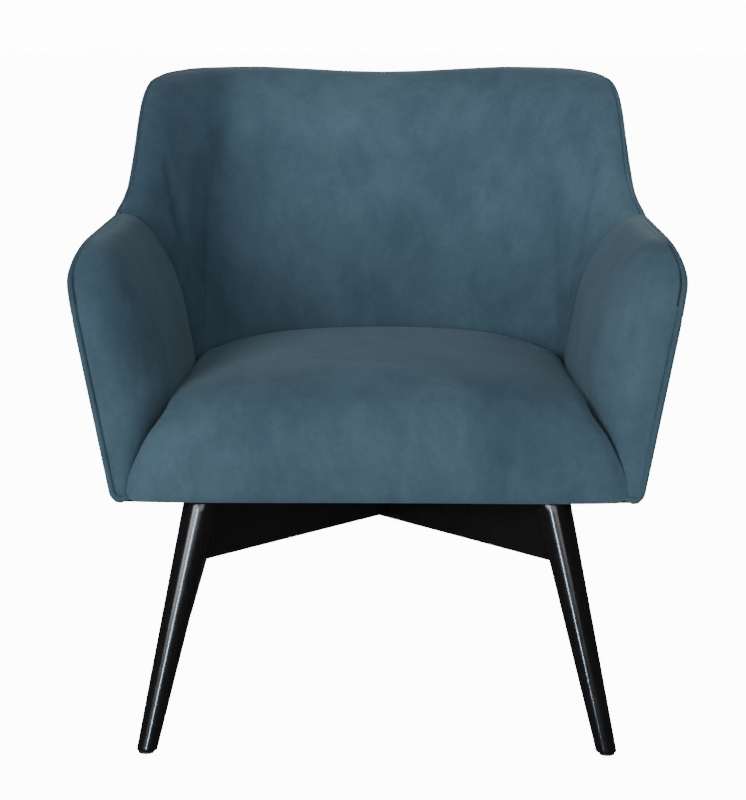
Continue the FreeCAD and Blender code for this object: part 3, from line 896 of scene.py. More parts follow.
class Finishes:
    """Every finish of the chair, by the frame's slot names."""

    def __init__(self) -> None:
        """Make the materials once."""
        self.velvet = Velvet().make()
        self.seam = Velvet(name="blue_velvet_roll", deep=(0.050, 0.092, 0.128), middle=(0.062, 0.111, 0.151),
                           light=(0.075, 0.130, 0.173)).make()
        self.lacquer = Lacquer().make()
        self.thread = Cloth("thread", (0.035, 0.070, 0.105), (0.022, 0.048, 0.075), 2400.0, 0.6).make()
        self.steel = Metal().make()
        self.lining = Cloth("black_lining", (0.022, 0.022, 0.024), (0.012, 0.012, 0.013), 700.0).make()
        self.by_slot: Dict[str, bpy.types.Material] = {
            "black_lacquer": self.lacquer,
            "glide_plastic": Plastic().make(),
            "plated_steel": self.steel,
            "velvet": self.velvet,
            "welt_velvet": self.seam,
            "foam": Cloth("foam", (0.80, 0.76, 0.62), (0.70, 0.66, 0.52), 300.0).make(),
            "felt": Cloth("grey_felt", (0.42, 0.41, 0.39), (0.30, 0.29, 0.28), 400.0).make(),
            "lining": self.lining,
            "webbing": Cloth("elastic_webbing", (0.10, 0.10, 0.10), (0.05, 0.05, 0.05), 500.0).make(),
            "plywood": Timber("plywood", (0.66, 0.50, 0.32), (0.50, 0.35, 0.20)).make(),
            "hardboard": Timber("hardboard", (0.30, 0.19, 0.11), (0.22, 0.13, 0.07),
                                (60.0, 60.0, 60.0)).make(),
            "beech": Timber("beech", (0.62, 0.44, 0.28), (0.48, 0.31, 0.18), (40.0, 3.0, 40.0)).make(),
        }

    def dress_frame(self) -> None:
        """Give every carried-over node its finish."""
        slots = {part["node"]: part["material_slot"] for part in frame["record"]["subparts"]}
        for node, piece in frame["nodes"].items():
            material = self.by_slot[slots[node]]
            if not piece.material_slots:
                piece.data.materials.append(material)
            for holder in piece.material_slots:
                holder.material = material


def dress(piece: bpy.types.Object, material: bpy.types.Material) -> None:
    """Give a new piece its one material."""
    piece.data.materials.clear()
    piece.data.materials.append(material)


def keep(piece: bpy.types.Object, slot: str, *nodes: str) -> None:
    """Ride a piece on the chair, hide the frame's nodes that it stands for and log its faces."""
    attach(piece, BODY)
    if nodes:
        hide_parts(*nodes)
    LOG.info("%s: %d faces", piece.name, len(piece.data.polygons))


# ---------------------------------------------------------------- geometry node rows and cords


class PathTree:
    """A geometry node tree that follows a path, with named inputs."""

    def __init__(self, name: str) -> None:
        """Start a tree with its geometry sockets."""
        self.tree = bpy.data.node_groups.new(name, "GeometryNodeTree")
        face = self.tree.interface
        face.new_socket("Geometry", in_out="INPUT", socket_type="NodeSocketGeometry")
        face.new_socket("Geometry", in_out="OUTPUT", socket_type="NodeSocketGeometry")
        self.start = self.tree.nodes.new("NodeGroupInput")
        self.end = self.tree.nodes.new("NodeGroupOutput")

    def socket(self, name: str, kind: str) -> None:
        """Add a named input."""
        self.tree.interface.new_socket(name, in_out="INPUT", socket_type="NodeSocket" + kind)

    def add(self, kind: str, **settings: object) -> bpy.types.Node:
        """Add a node and set its own properties."""
        node = self.tree.nodes.new("GeometryNode" + kind if not kind.startswith("Function") else kind)
        for key, value in settings.items():
            setattr(node, key, value)
        return node

    def link(self, source: bpy.types.Node, out: str, target: bpy.types.Node, into: str) -> None:
        """Join one node's output to another's input."""
        self.tree.links.new(source.outputs[out], target.inputs[into])

    def close(self, last: bpy.types.Node, out: str) -> None:
        """Realise the result, give it its material and send it out."""
        real = self.add("RealizeInstances")
        paint = self.add("SetMaterial")
        self.link(last, out, real, "Geometry")
        self.link(real, "Geometry", paint, "Geometry")
        self.link(self.start, "Material", paint, "Material")
        self.link(paint, "Geometry", self.end, "Geometry")

    def bake(self, piece: bpy.types.Object, **values: object) -> bpy.types.Object:
        """Run the tree on a piece and keep the mesh it makes.

        Args:
            piece: the object that holds the path.
            values: the named inputs, underscores standing for spaces.

        Returns:
            The same object with its new mesh.
        """
        modifier = piece.modifiers.new(self.tree.name, "NODES")
        modifier.node_group = self.tree
        for item in self.tree.interface.items_tree:
            key = item.name.replace(" ", "_")
            if item.in_out == "INPUT" and key in values:
                modifier[item.identifier] = values[key]
        apply_modifiers(piece)
        return piece


def cord_tree() -> PathTree:
    """A tree that lays a round cord along a path, its thickness following the swell attribute."""
    made = PathTree("cord_along_path")
    made.socket("Radius", "Float")
    made.socket("Sides", "Int")
    made.socket("Material", "Material")
    curve = made.add("MeshToCurve")
    swell = made.add("InputNamedAttribute", data_type="FLOAT")
    swell.inputs["Name"].default_value = "swell"
    size = made.add("SetCurveRadius")
    ring = made.add("CurvePrimitiveCircle")
    sweep = made.add("CurveToMesh")
    sweep.inputs["Fill Caps"].default_value = True
    made.link(made.start, "Geometry", curve, "Mesh")
    made.link(curve, "Curve", size, "Curve")
    made.link(swell, "Attribute", size, "Radius")
    made.link(made.start, "Radius", ring, "Radius")
    made.link(made.start, "Sides", ring, "Resolution")
    made.link(size, "Curve", sweep, "Curve")
    made.link(ring, "Curve", sweep, "Profile Curve")
    if "Scale" in sweep.inputs:
        made.link(swell, "Attribute", sweep, "Scale")
    made.close(sweep, "Mesh")
    return made


def row_tree() -> PathTree:
    """A tree that repeats a small part along a path, each turned to follow it."""
    made = PathTree("parts_along_path")
    made.socket("Spacing", "Float")
    made.socket("Part", "Object")
    made.socket("Wander", "Float")
    made.socket("Seed", "Int")
    made.socket("Material", "Material")
    curve = made.add("MeshToCurve")
    points = made.add("CurveToPoints", mode="LENGTH")
    item = made.add("ObjectInfo")
    item.inputs["As Instance"].default_value = True
    place = made.add("InstanceOnPoints")
    turn = made.add("RotateInstances")
    chance = made.add("FunctionNodeRandomValue", data_type="FLOAT_VECTOR")
    spread = made.tree.nodes.new("ShaderNodeVectorMath")
    spread.operation = "SCALE"
    chance.inputs[0].default_value = (-0.3, -0.3, -1.0)
    chance.inputs[1].default_value = (0.3, 0.3, 1.0)
    made.link(made.start, "Geometry", curve, "Mesh")
    made.link(curve, "Curve", points, "Curve")
    made.link(made.start, "Spacing", points, "Length")
    made.link(made.start, "Part", item, "Object")
    made.link(points, "Points", place, "Points")
    made.link(item, "Geometry", place, "Instance")
    made.link(points, "Rotation", place, "Rotation")
    made.link(place, "Instances", turn, "Instances")
    made.link(made.start, "Seed", chance, "Seed")
    made.tree.links.new(chance.outputs[0], spread.inputs[0])
    made.tree.links.new(made.start.outputs["Wander"], spread.inputs["Scale"])
    made.tree.links.new(spread.outputs["Vector"], turn.inputs["Rotation"])
    made.close(turn, "Instances")
    return made


def path_object(name: str, path: Sequence[Sequence[float]], swell: Optional[Grid] = None) -> bpy.types.Object:
    """An object of bare edges along a path, for the trees above.

    Args:
        name: the object's name.
        path: its points.
        swell: each point's share of the cord's thickness, or None for all 1.

    Returns:
        The object.
    """
    mesh = bpy.data.meshes.new(name)
    edges = [(i, i + 1) for i in range(len(path) - 1)]
    mesh.from_pydata([tuple(map(float, p)) for p in path], edges, [])
    values = np.ones(len(path)) if swell is None else swell
    sizes = mesh.attributes.new("swell", "FLOAT", "POINT")
    sizes.data.foreach_set("value", np.asarray(values, dtype=np.float32))
    piece = bpy.data.objects.new(name, mesh)
    bpy.context.scene.collection.objects.link(piece)
    return piece


def even(path: Grid, spacing: float) -> Grid:
    """The same path with points a set distance apart."""
    path = np.asarray(path, dtype=float)
    steps = np.linalg.norm(np.diff(path, axis=0), axis=1)
    keep_ = np.concatenate([[True], steps > 1e-7])
    path = path[keep_]
    run = np.concatenate([[0.0], np.cumsum(np.linalg.norm(np.diff(path, axis=0), axis=1))])
    count = max(2, int(round(run[-1] / spacing)) + 1)
    places = np.linspace(0.0, run[-1], count)
    return np.stack([np.interp(places, run, path[:, k]) for k in range(3)], axis=-1)


def relaxed(path: Grid, rounds: int) -> Grid:
    """The same path with its small kinks smoothed away."""
    path = np.array(path)
    for _ in range(rounds):
        path[1:-1] = 0.25 * path[:-2] + 0.5 * path[1:-1] + 0.25 * path[2:]
    return path


# ---------------------------------------------------------------- upholstery


@dataclass
class InsideArms:
    """The stuffed inner faces of both arms, wrapped over their tops and fronts."""

    finishes: Finishes
    hidden: float = 0.010
    foot_front: float = 0.2902
    foot_rear: float = 0.352
    columns_near: int = 30
    columns_far: int = 34
    rows_near: int = 30
    rows_far: int = 26
    stuffing: Stuffing = Stuffing(cap=0.0035)

    def foot(self, run: Grid) -> Grid:
        """Lowest height of the pad behind its front edge."""
        return self.foot_front + (self.foot_rear - self.foot_front) * smooth((run - 0.045) / 0.030)

    def make(self) -> List[bpy.types.Object]:
        """Build, swell and dress both arms."""
        near = ARM_RAMP.front * np.linspace(0.0, 1.0, self.columns_near + 1) ** 1.9
        far = np.linspace(ARM_RAMP.front, SHELL.plan_y - SHELL.front_y, self.columns_far + 1)[1:]
        along = np.concatenate([near, far])
        surface = ArmSurface(along, ramp_rows(self.rows_near, self.rows_far), self.foot)
        depth = surface.depth()
        face = surface.at_depth(depth)
        back = surface.at_depth(depth - np.minimum(depth * 0.5, self.hidden))
        right = closed_slab("inside_arm_right", face, back)
        self.stuffing.swell(right, free_share(vertices(right), face.reshape(-1, 3), surface.edge.ravel()))
        ripple(right, (5.0, 7.0, 6.0), 0.0012, 3.1)
        Crease((0.262, -0.035, 0.520), (0.268, 0.020, 0.545), 0.012, 0.0012).press(right)
        subdivide(right)
        left = mirrored("inside_arm_left", right)
        pair = [right, left]
        for piece, side in zip(pair, (Side.RIGHT, Side.LEFT)):
            dress(piece, self.finishes.velvet)
            keep(piece, "velvet", "arm_foam_" + side.word, "arm_inside_cover_" + side.word)
        return pair


def free_share(places: Grid, face: Grid, edge: Grid) -> Grid:
    """How far each vertex may move: not at the borders, nor on the hidden side.

    Merged vertices are matched back to the face points that they came from.

    Args:
        places: the piece's vertices.
        face: points of its visible face.
        edge: for each face point, 1 on the border and 0 within.

    Returns:
        For each vertex, a share from 0 to 1.
    """
    tree = kdtree.KDTree(len(face))
    for index, point in enumerate(face):
        tree.insert(point, index)
    tree.balance()
    shares = np.zeros(len(places))
    for index, place in enumerate(places):
        _, found, away = tree.find(place)
        if away < 1e-5:
            shares[index] = float(smooth(np.array((1.0 - edge[found]) / 0.5)))
    return shares


@dataclass
class InsideBack:
    """The stuffed inner face of the tub, wrapped over its top edge."""

    finishes: Finishes
    hidden: float = 0.010
    foot: float = 0.352
    columns: int = 120
    rows_near: int = 30
    rows_far: int = 36
    stuffing: Stuffing = Stuffing(cap=0.0035)

    def make(self) -> bpy.types.Object:
        """Build, swell and dress the inside back."""
        part = np.linspace(0.0, 1.0, self.columns + 1)
        eased = part - 0.055 * np.sin(2.0 * math.pi * part)
        surface = TubSurface(eased * math.pi, ramp_rows(self.rows_near, self.rows_far), self.foot)
        depth = surface.depth()
        face = surface.at_depth(depth)
        back = surface.at_depth(depth - np.minimum(depth * 0.5, self.hidden))
        piece = closed_slab("inside_back", face, back)
        side = 1.0 - smooth(np.minimum(surface.theta, math.pi - surface.theta) / 0.25)
        edge = np.maximum(surface.edge, side)
        self.stuffing.swell(piece, free_share(vertices(piece), face.reshape(-1, 3), edge.ravel()))
        ripple(piece, (5.0, 6.0, 6.0), 0.0012, 8.4)
        Crease((-0.012, 0.235, 0.640), (0.014, 0.236, 0.652), 0.007, 0.0011).press(piece)
        subdivide(piece)
        dress(piece, self.finishes.velvet)
        nodes = [name for name in frame["nodes"] if name.startswith("back_foam")]
        keep(piece, "velvet", "back_inside_cover", *nodes)
        return piece


@dataclass
class SeatCushion:
    """The tight seat: a crowned top that rolls over the front edge and down to the base."""

    finishes: Finishes
    side_steps: int = 26
    plan_rear: float = 0.100
    wall: Tuple[Row, ...] = (
        # centre line y and z, half width, drop at the sides, steepness of the drop, hidden depth
        (-0.2840, 0.2899, 0.2885, 0.0005, 10.0, 0.003),
        (-0.2915, 0.2899, 0.2905, 0.0010, 10.0, 0.006),
        (-0.2952, 0.2912, 0.2915, 0.0020, 10.0, 0.009),
        (-0.2967, 0.2945, 0.2917, 0.0035, 10.0, 0.010),
        (-0.2973, 0.3020, 0.2912, 0.0048, 9.0, 0.011),
        (-0.2974, 0.3140, 0.2898, 0.0058, 8.0, 0.012),
        (-0.2980, 0.3300, 0.2845, 0.0075, 7.0, 0.013),
        (-0.2980, 0.3470, 0.2770, 0.0095, 6.0, 0.014),
        (-0.2970, 0.3640, 0.2695, 0.0120, 5.5, 0.016),
        (-0.2935, 0.3800, 0.2620, 0.0160, 5.0, 0.018),
        (-0.2865, 0.3950, 0.2550, 0.0200, 4.6, 0.022),
        (-0.2765, 0.4080, 0.2505, 0.0230, 4.3, 0.028),
        (-0.2635, 0.4180, 0.2480, 0.0250, 4.0, 0.035),
        (-0.2480, 0.4250, 0.2465, 0.0262, 3.8, 0.045),
        (-0.2300, 0.4295, 0.2455, 0.0270, 3.7, 0.055),
        (-0.2050, 0.4325, 0.2440, 0.0275, 3.6, 0.064),
        (-0.1750, 0.4345, 0.2410, 0.0275, 3.5, 0.070),
        (-0.1400, 0.4358, 0.2375, 0.0270, 3.5, 0.074),
        (-0.1000, 0.4366, 0.2340, 0.0262, 3.5, 0.076),
    )
    rear_rows: int = 26
    rear_drop: float = 0.010
    rear_half: float = 0.2310
    rear_spread: float = 0.09
    crown_rise: float = 0.0008
    side_tuck: float = 0.005
    rear_tuck: float = 0.006
    tuck_from: float = 0.955
    hidden_share: float = 0.985
    lowest_hidden: float = 0.2905
    stuffing: Stuffing = Stuffing(cap=0.0045)

    def make(self) -> bpy.types.Object:
        """Build, swell and dress the seat."""
        share = np.linspace(-1.0, 1.0, 2 * self.side_steps + 1)
        across = np.sign(share) * (1.0 - (1.0 - np.abs(share)) ** 1.7)
        table = np.array(self.wall)
        finer = np.arange(0, len(table) - 1 + 1e-9, 0.5)
        rows = np.stack([self.eased(table[:, k], finer) for k in range(table.shape[1])], axis=-1)
        way = np.gradient(rows[:, :2], axis=0)
        way /= np.linalg.norm(way, axis=1)[:, None]
        front, behind = [], []
        for row, (dy, dz) in zip(rows, way):
            y, z, half, fall, power, deep = row
            sag = fall * np.abs(across) ** power
            tuck = self.side_tuck * self.near_side(across)
            x = half * across
            push = sag + tuck
            front.append(np.stack([x, y + push * dz, z - push * dy], axis=-1))
            inside = push + deep
            low = np.maximum(z - inside * dy, self.lowest_hidden)
            behind.append(np.stack([x * self.hidden_share, y + inside * dz, low], axis=-1))
        self.add_rear(front, behind, rows[-1], across)
        top, under = np.array(front), np.array(behind)
        piece = closed_slab("seat_cushion", top, under)
        edge_side = np.abs(np.broadcast_to(across, top.shape[:2])) ** 6
        rise = np.linspace(0.0, 1.0, len(top))[:, None] * np.ones(len(across))
        edge = np.maximum(edge_side, np.maximum(1.0 - smooth(rise / 0.16), smooth((rise - 0.9) / 0.1)))
        self.stuffing.swell(piece, free_share(vertices(piece), top.reshape(-1, 3), edge.ravel()))
        ripple(piece, (4.0, 5.0, 5.0), 0.0016, 1.7)
        subdivide(piece)
        dress(piece, self.finishes.velvet)
        keep(piece, "velvet", "seat_foam", "seat_cover")
        return piece

    def near_side(self, across: Grid) -> Grid:
        """A smooth rise from 0 to 1 over the last stretch before the seat's sides."""
        return smooth((np.abs(across) - self.tuck_from) / (1.0 - self.tuck_from))

    def eased(self, values: Grid, places: Grid) -> Grid:
        """Read a table's column at finer places with a smooth curve through its rows."""
        slopes = np.gradient(values)
        low = np.minimum(places.astype(int), len(values) - 2)
        t = places - low
        first, second = values[low], values[low + 1]
        h00 = 2 * t ** 3 - 3 * t ** 2 + 1
        h10 = t ** 3 - 2 * t ** 2 + t
        h01 = -2 * t ** 3 + 3 * t ** 2
        h11 = t ** 3 - t ** 2
        return h00 * first + h10 * slopes[low] + h01 * second + h11 * slopes[low + 1]

    def add_rear(self, front: List[Grid], behind: List[Grid], last: Grid, across: Grid) -> None:
        """Add the rows behind the straight part, spreading to the rounded rear.

        Args:
            front: rows of the visible face so far.
            behind: rows of the hidden side so far.
            last: the last straight row's numbers.
            across: places across the seat, from -1 to 1.
        """
        y0, z0, half0, fall, power, deep = last
        rear = SHELL.plan_y + self.plan_rear * np.sqrt(np.clip(1.0 - across ** 2, 0.0, 1.0))
        for step in range(1, self.rear_rows + 1):
            part = step / self.rear_rows
            part = 1.0 - (1.0 - part) ** 1.35
            y = y0 + (rear - y0) * part
            straight = y0 + (SHELL.plan_y - y0) * part
            width = half0 + (self.rear_half - half0) * min(1.0, (straight - y0) / self.rear_spread)
            x = width * across
            crown = z0 + self.crown_rise * math.sin(math.pi * part)
            side = np.abs(across) ** power
            back = part ** 4.0
            drop = fall * side + (self.rear_drop * (1.0 - 0.5 * side)) * back
            tuck = self.rear_tuck * np.maximum(self.near_side(across), smooth((part - 0.93) / 0.07))
            z = crown - drop - tuck
            front.append(np.stack([x, y, z], axis=-1))
            low = z - deep + 0.02 * side
            behind.append(np.stack([x * self.hidden_share, y - 0.003 * part, low], axis=-1))


@dataclass
class OutsidePanels:
    """The smooth outer covers: one round each arm to the rear corner, and one across the back."""

    finishes: Finishes
    corner: float = math.radians(44.0)
    proud: float = 0.0018
    buried: float = 0.0016
    seam_below: float = 0.0002
    seam_width: float = 0.0030
    hem: Tuple[Row, ...] = ((0.2924, 0.0004), (0.2910, 0.0014), (0.2901, 0.0034), (0.2898, 0.0085))

    def offsets(self, away: Grid) -> Grid:
        """How far the cover stands out of the shell, sinking at its borders."""
        return self.proud - (self.proud + self.seam_below) * np.exp(-((away / self.seam_width) ** 2))

    def rows(self) -> Grid:
        """Shares of the height from the top edge to just above the hem."""
        part = np.linspace(0.0, 1.0, 44)
        return part ** 1.25

    def arm_columns(self) -> Tuple[Grid, Grid]:
        """Distances behind the front edge, and the drop of the rounded top there."""
        near = ARM_RAMP.front * np.linspace(0.0, 1.0, 22) ** 1.9
        far = np.linspace(ARM_RAMP.front, SHELL.plan_y - SHELL.front_y, 18)[1:]
        run = np.concatenate([near, far])
        a = np.clip(1.0 - run / ARM_RAMP.front, 0.0, 1.0)
        rise = (1.0 - a ** SHELL.corner_power) ** (1.0 / SHELL.corner_power)
        return run, ARM_RAMP.top * (1.0 - rise)

    def build(self, name: str, columns: List[Tuple[Grid, Grid]]) -> bpy.types.Object:
        """Join columns of face and hidden points into a panel."""
        face = np.array([c[0] for c in columns])
        back = np.array([c[1] for c in columns])
        return closed_slab(name, face, back)

    def column(self, place: Callable[[Grid, Grid], Grid], top: float, border: float) -> Tuple[Grid, Grid]:
        """One column of a panel.

        Args:
            place: gives points for heights and distances out of the shell.
            top: height of the panel's edge.
            border: distance to the nearest side border.

        Returns:
            Its face points and its hidden points.
        """
        foot = self.hem[0][0] + 0.0022
        z = top + (foot - top) * self.rows()
        out = self.offsets(np.minimum(top - z, border))
        z_all = np.concatenate([z, [row[0] for row in self.hem]])
        end = out[-1]
        out_all = np.concatenate([out, [end - row[1] for row in self.hem]])
        face = place(z_all, out_all)
        hidden_z = np.maximum(z_all, self.hem[-1][0] + 0.0012)
        back = place(hidden_z, np.minimum(out_all, self.proud) - self.buried - self.proud)
        return face, back

    def make(self) -> List[bpy.types.Object]:
        """Build and dress the three outside covers."""
        run, drops = self.arm_columns()
        columns: List[Tuple[Grid, Grid]] = []
        for along, fall in zip(run, drops):
            y = SHELL.front_y + along

            def on_arm(z: Grid, out: Grid, y: float = y) -> Grid:
                """Points on the arm's outside."""
                x = SHELL.arm_outer(y, z) - SHELL.tucked(SHELL.arm_top - z) + out
                return np.stack([x, np.full_like(z, y), z], axis=-1)

            columns.append(self.column(on_arm, SHELL.arm_top - fall, along + 0.0005))
        for theta in np.linspace(0.0, self.corner, 22)[1:]:
            border = (self.corner - theta) * 0.33
            columns.append(self.tub_column(theta, border))
        right = self.build("outside_arm_right", columns)
        rear = [self.tub_column(t, min(t - self.corner, math.pi - self.corner - t) * 0.33)
                for t in self.rear_angles()]
        back = self.build("outside_back", rear)
        subdivide(right)
        subdivide(back)
        left = mirrored("outside_arm_left", right)
        for piece, node in ((right, "arm_outside_cover_right"), (left, "arm_outside_cover_left"),
                            (back, "back_outside_cover")):
            dress(piece, self.finishes.velvet)
            keep(piece, "velvet", node)
        return [right, left, back]

    def rear_angles(self) -> Grid:
        """Angles of the back cover's columns, closer together at its side seams."""
        part = np.linspace(0.0, 1.0, 61)
        eased = part - 0.11 * np.sin(2.0 * math.pi * part)
        return self.corner + eased * (math.pi - 2.0 * self.corner)

    def tub_column(self, theta: float, border: float) -> Tuple[Grid, Grid]:
        """One column on the tub's outside."""
        angle = np.array([theta])
        crest = float(SHELL.crest(angle)[0])

        def on_tub(z: Grid, out: Grid) -> Grid:
            """Points on the tub's outside."""
            turn = np.full_like(z, theta)
            tuck = SHELL.tucked(crest - z, SHELL.tub_tuck(turn))
            radius = SHELL.radius(SHELL.outer_levels, turn, z) - tuck + out
            return np.stack([radius * np.cos(turn), SHELL.plan_y + radius * np.sin(turn), z], axis=-1)

        return self.column(on_tub, crest, border)


@dataclass
class EdgeRoll:
    """The narrow velvet roll sewn along the whole edge of the shell, from foot to foot."""

    finishes: Finishes
    radius: float = 0.0038
    spacing: float = 0.0022
    sides: int = 14
    piecing_z: float = 0.507
    sunk: float = 0.0032
    foot_z: float = 0.3045
    bend: float = 0.0105
    tail: Row = (0.003, 0.006, 0.009)
    piecing_notch: float = 0.14
    piecing_width: float = 0.0022

    def outline(self) -> Grid:
        """Centre line from the middle of the back to the right arm's foot."""
        points: List[Tuple[float, float, float]] = []
        for theta in np.linspace(math.pi / 2.0, 0.0, 140):
            angle = np.array([theta])
            z = SHELL.crest(angle)
            reach = SHELL.radius(SHELL.outer_levels, angle, z) - SHELL.tub_tuck(angle) + 0.0006
            out = float(reach[0])
            points.append((out * math.cos(theta), SHELL.plan_y + out * math.sin(theta), float(z[0]) + 0.0002))
        run = np.linspace(SHELL.plan_y - SHELL.front_y, ARM_RAMP.front, 60)[1:]
        drop = np.zeros_like(run)
        phi = np.linspace(math.pi / 2.0, 0.0, 60)[1:]
        corner_run = ARM_RAMP.front * (1.0 - np.cos(phi) ** (2.0 / SHELL.corner_power))
        corner_drop = ARM_RAMP.top * (1.0 - np.sin(phi) ** (2.0 / SHELL.corner_power))
        straight = np.linspace(SHELL.arm_top - ARM_RAMP.top, self.foot_z, 60)[1:]
        run = np.concatenate([run, corner_run, np.zeros_like(straight)])
        drop = np.concatenate([drop, corner_drop, SHELL.arm_top - straight])
        y = SHELL.front_y + run
        z = SHELL.arm_top - drop
        x = SHELL.arm_outer(y, z) - SHELL.tucked(drop) + 0.0004
        points += list(zip(x, y, z))
        end_x, end_y, end_z = float(x[-1]), float(y[-1]), float(z[-1])
        for turn in np.linspace(0.0, math.pi / 2.0, 8)[1:]:
            points.append((end_x - self.bend * (1.0 - math.cos(turn)), end_y + 0.0004 * turn,
                           end_z - self.bend * math.sin(turn)))
        points += [(points[-1][0] - step, points[-1][1] + 0.6 * step, points[-1][2] + 0.2 * step)
                   for step in self.tail]
        path = even(relaxed(even(np.array(points), self.spacing), 3), self.spacing)
        shown = self.shown(path)
        path[:, 2] -= (1.0 - shown) * self.sunk
        path[:, :2] *= (1.0 + (1.0 - shown) * 0.0006 / np.linalg.norm(path[:, :2], axis=1))[:, None]
        return path

    def shown(self, path: Grid) -> Grid:
        """How far the roll stands proud: fully down an arm's front, not along the top edges."""
        return smooth((SHELL.front_y + 0.034 - path[:, 1]) / 0.030) * smooth((0.574 - path[:, 2]) / 0.030)

    def make(self, tree: PathTree) -> bpy.types.Object:
        """Lay the roll along the outline and dress it."""
        half = self.outline()
        other = half[::-1] * np.array([-1.0, 1.0, 1.0])
        path = np.concatenate([other[:-1], half])
        swell = 0.80 + 0.20 * self.shown(path)
        at_front = path[:, 1] < SHELL.front_y + 0.02
        notch = np.exp(-(((path[:, 2] - self.piecing_z) / self.piecing_width) ** 2))
        swell -= self.piecing_notch * notch * at_front
        piece = path_object("edge_roll", path, swell)
        tree.bake(piece, Radius=self.radius, Sides=self.sides, Material=self.finishes.seam)
        outward(piece)
        keep(piece, "welt_velvet", "arm_welt_left", "arm_welt_right")
        return piece


# ---------------------------------------------------------------- base


@dataclass
class Base:
    """Splayed round legs, joined under the seat by two crossed boards, all lacquered."""

    finishes: Finishes
    foot_radius: float = 0.012
    top_radius: float = 0.021
    glide_top: float = 0.003
    top: float = 0.2886
    board_bottom: float = 0.219
    front: Tuple[Row, Row] = ((0.268, -0.3245), (0.2197, -0.2794))
    rear: Tuple[Row, Row] = ((0.276, 0.2755), (0.2197, 0.2274))
    sides: int = 48
    soften: float = 0.0012

    def leg(self, name: str, foot: Row, joint: Row, node: str) -> bpy.types.Object:
        """One leg, cut level at both ends with its rims softened.

        Args:
            name: the piece's name.
            foot: the axis's place on the floor.
            joint: the axis's place at the boards' lower edge.
            node: the CAD node it stands for.

        Returns:
            The closed leg.
        """
        drift = (np.array(joint) - np.array(foot)) / self.board_bottom
        heights = [self.glide_top + rise for rise in (0.0, 0.0004, self.soften, 0.004)]
        heights += list(np.linspace(0.02, self.top - 0.01, 28))
        heights += [self.top - self.soften, self.top - 0.0004, self.top]
        turns = np.linspace(0.0, 2.0 * math.pi, self.sides, endpoint=False)
        points: List[Grid] = []
        for z in heights:
            edge = min(z - self.glide_top, self.top - z)
            inset = self.soften * (1.0 - math.sqrt(1.0 - (1.0 - min(1.0, edge / self.soften)) ** 2))
            radius = self.foot_radius + (self.top_radius - self.foot_radius) * z / self.top - inset
            centre = np.array(foot) + drift * z
            ring = np.stack([centre[0] + radius * np.cos(turns), centre[1] + radius * np.sin(turns),
                             np.full_like(turns, z)], axis=-1)
            points.append(ring)
        ends = [[*(np.array(foot) + drift * heights[k]), heights[k]] for k in (0, -1)]
        places = np.concatenate(points + [np.array(ends)])
        piece = new_object(name, places, ring_faces(len(heights), self.sides))
        dress(piece, self.finishes.lacquer)
        keep(piece, "black_lacquer", node)
        return piece

    def board(self, node: str) -> bpy.types.Object:
        """A copy of a crossed board with its edges eased."""
        source = frame["nodes"][node]
        mesh = source.data.copy()
        mesh.name = node + "_eased"
        work = bmesh.new()
        work.from_mesh(mesh)
        bmesh.ops.remove_doubles(work, verts=work.verts, dist=2e-5)
        bmesh.ops.dissolve_limit(work, angle_limit=math.radians(2.0), verts=work.verts, edges=work.edges)
        work.to_mesh(mesh)
        work.free()
        piece = bpy.data.objects.new(node + "_eased", mesh)
        bpy.context.scene.collection.objects.link(piece)
        bevel = piece.modifiers.new("ease", "BEVEL")
        bevel.width = 0.0009
        bevel.segments = 2
        bevel.limit_method = "ANGLE"
        bevel.angle_limit = math.radians(50.0)
        bevel.use_clamp_overlap = True
        apply_modifiers(piece)
        piece.data.shade_flat()
        dress(piece, self.finishes.lacquer)
        keep(piece, "black_lacquer", node)
        return piece

    def make(self) -> None:
        """Build the four legs and the two boards."""
        for tag, (foot, joint) in (("front", self.front), ("rear", self.rear)):
            for side in Side:
                node = "leg_" + tag + "_" + side.word
                flip = (float(side.value), 1.0)
                spots = [tuple(a * b for a, b in zip(spot, flip)) for spot in (foot, joint)]
                self.leg(node + "_turned", spots[0], spots[1], node)
        for node in ("cross_board_a", "cross_board_b"):
            self.board(node)


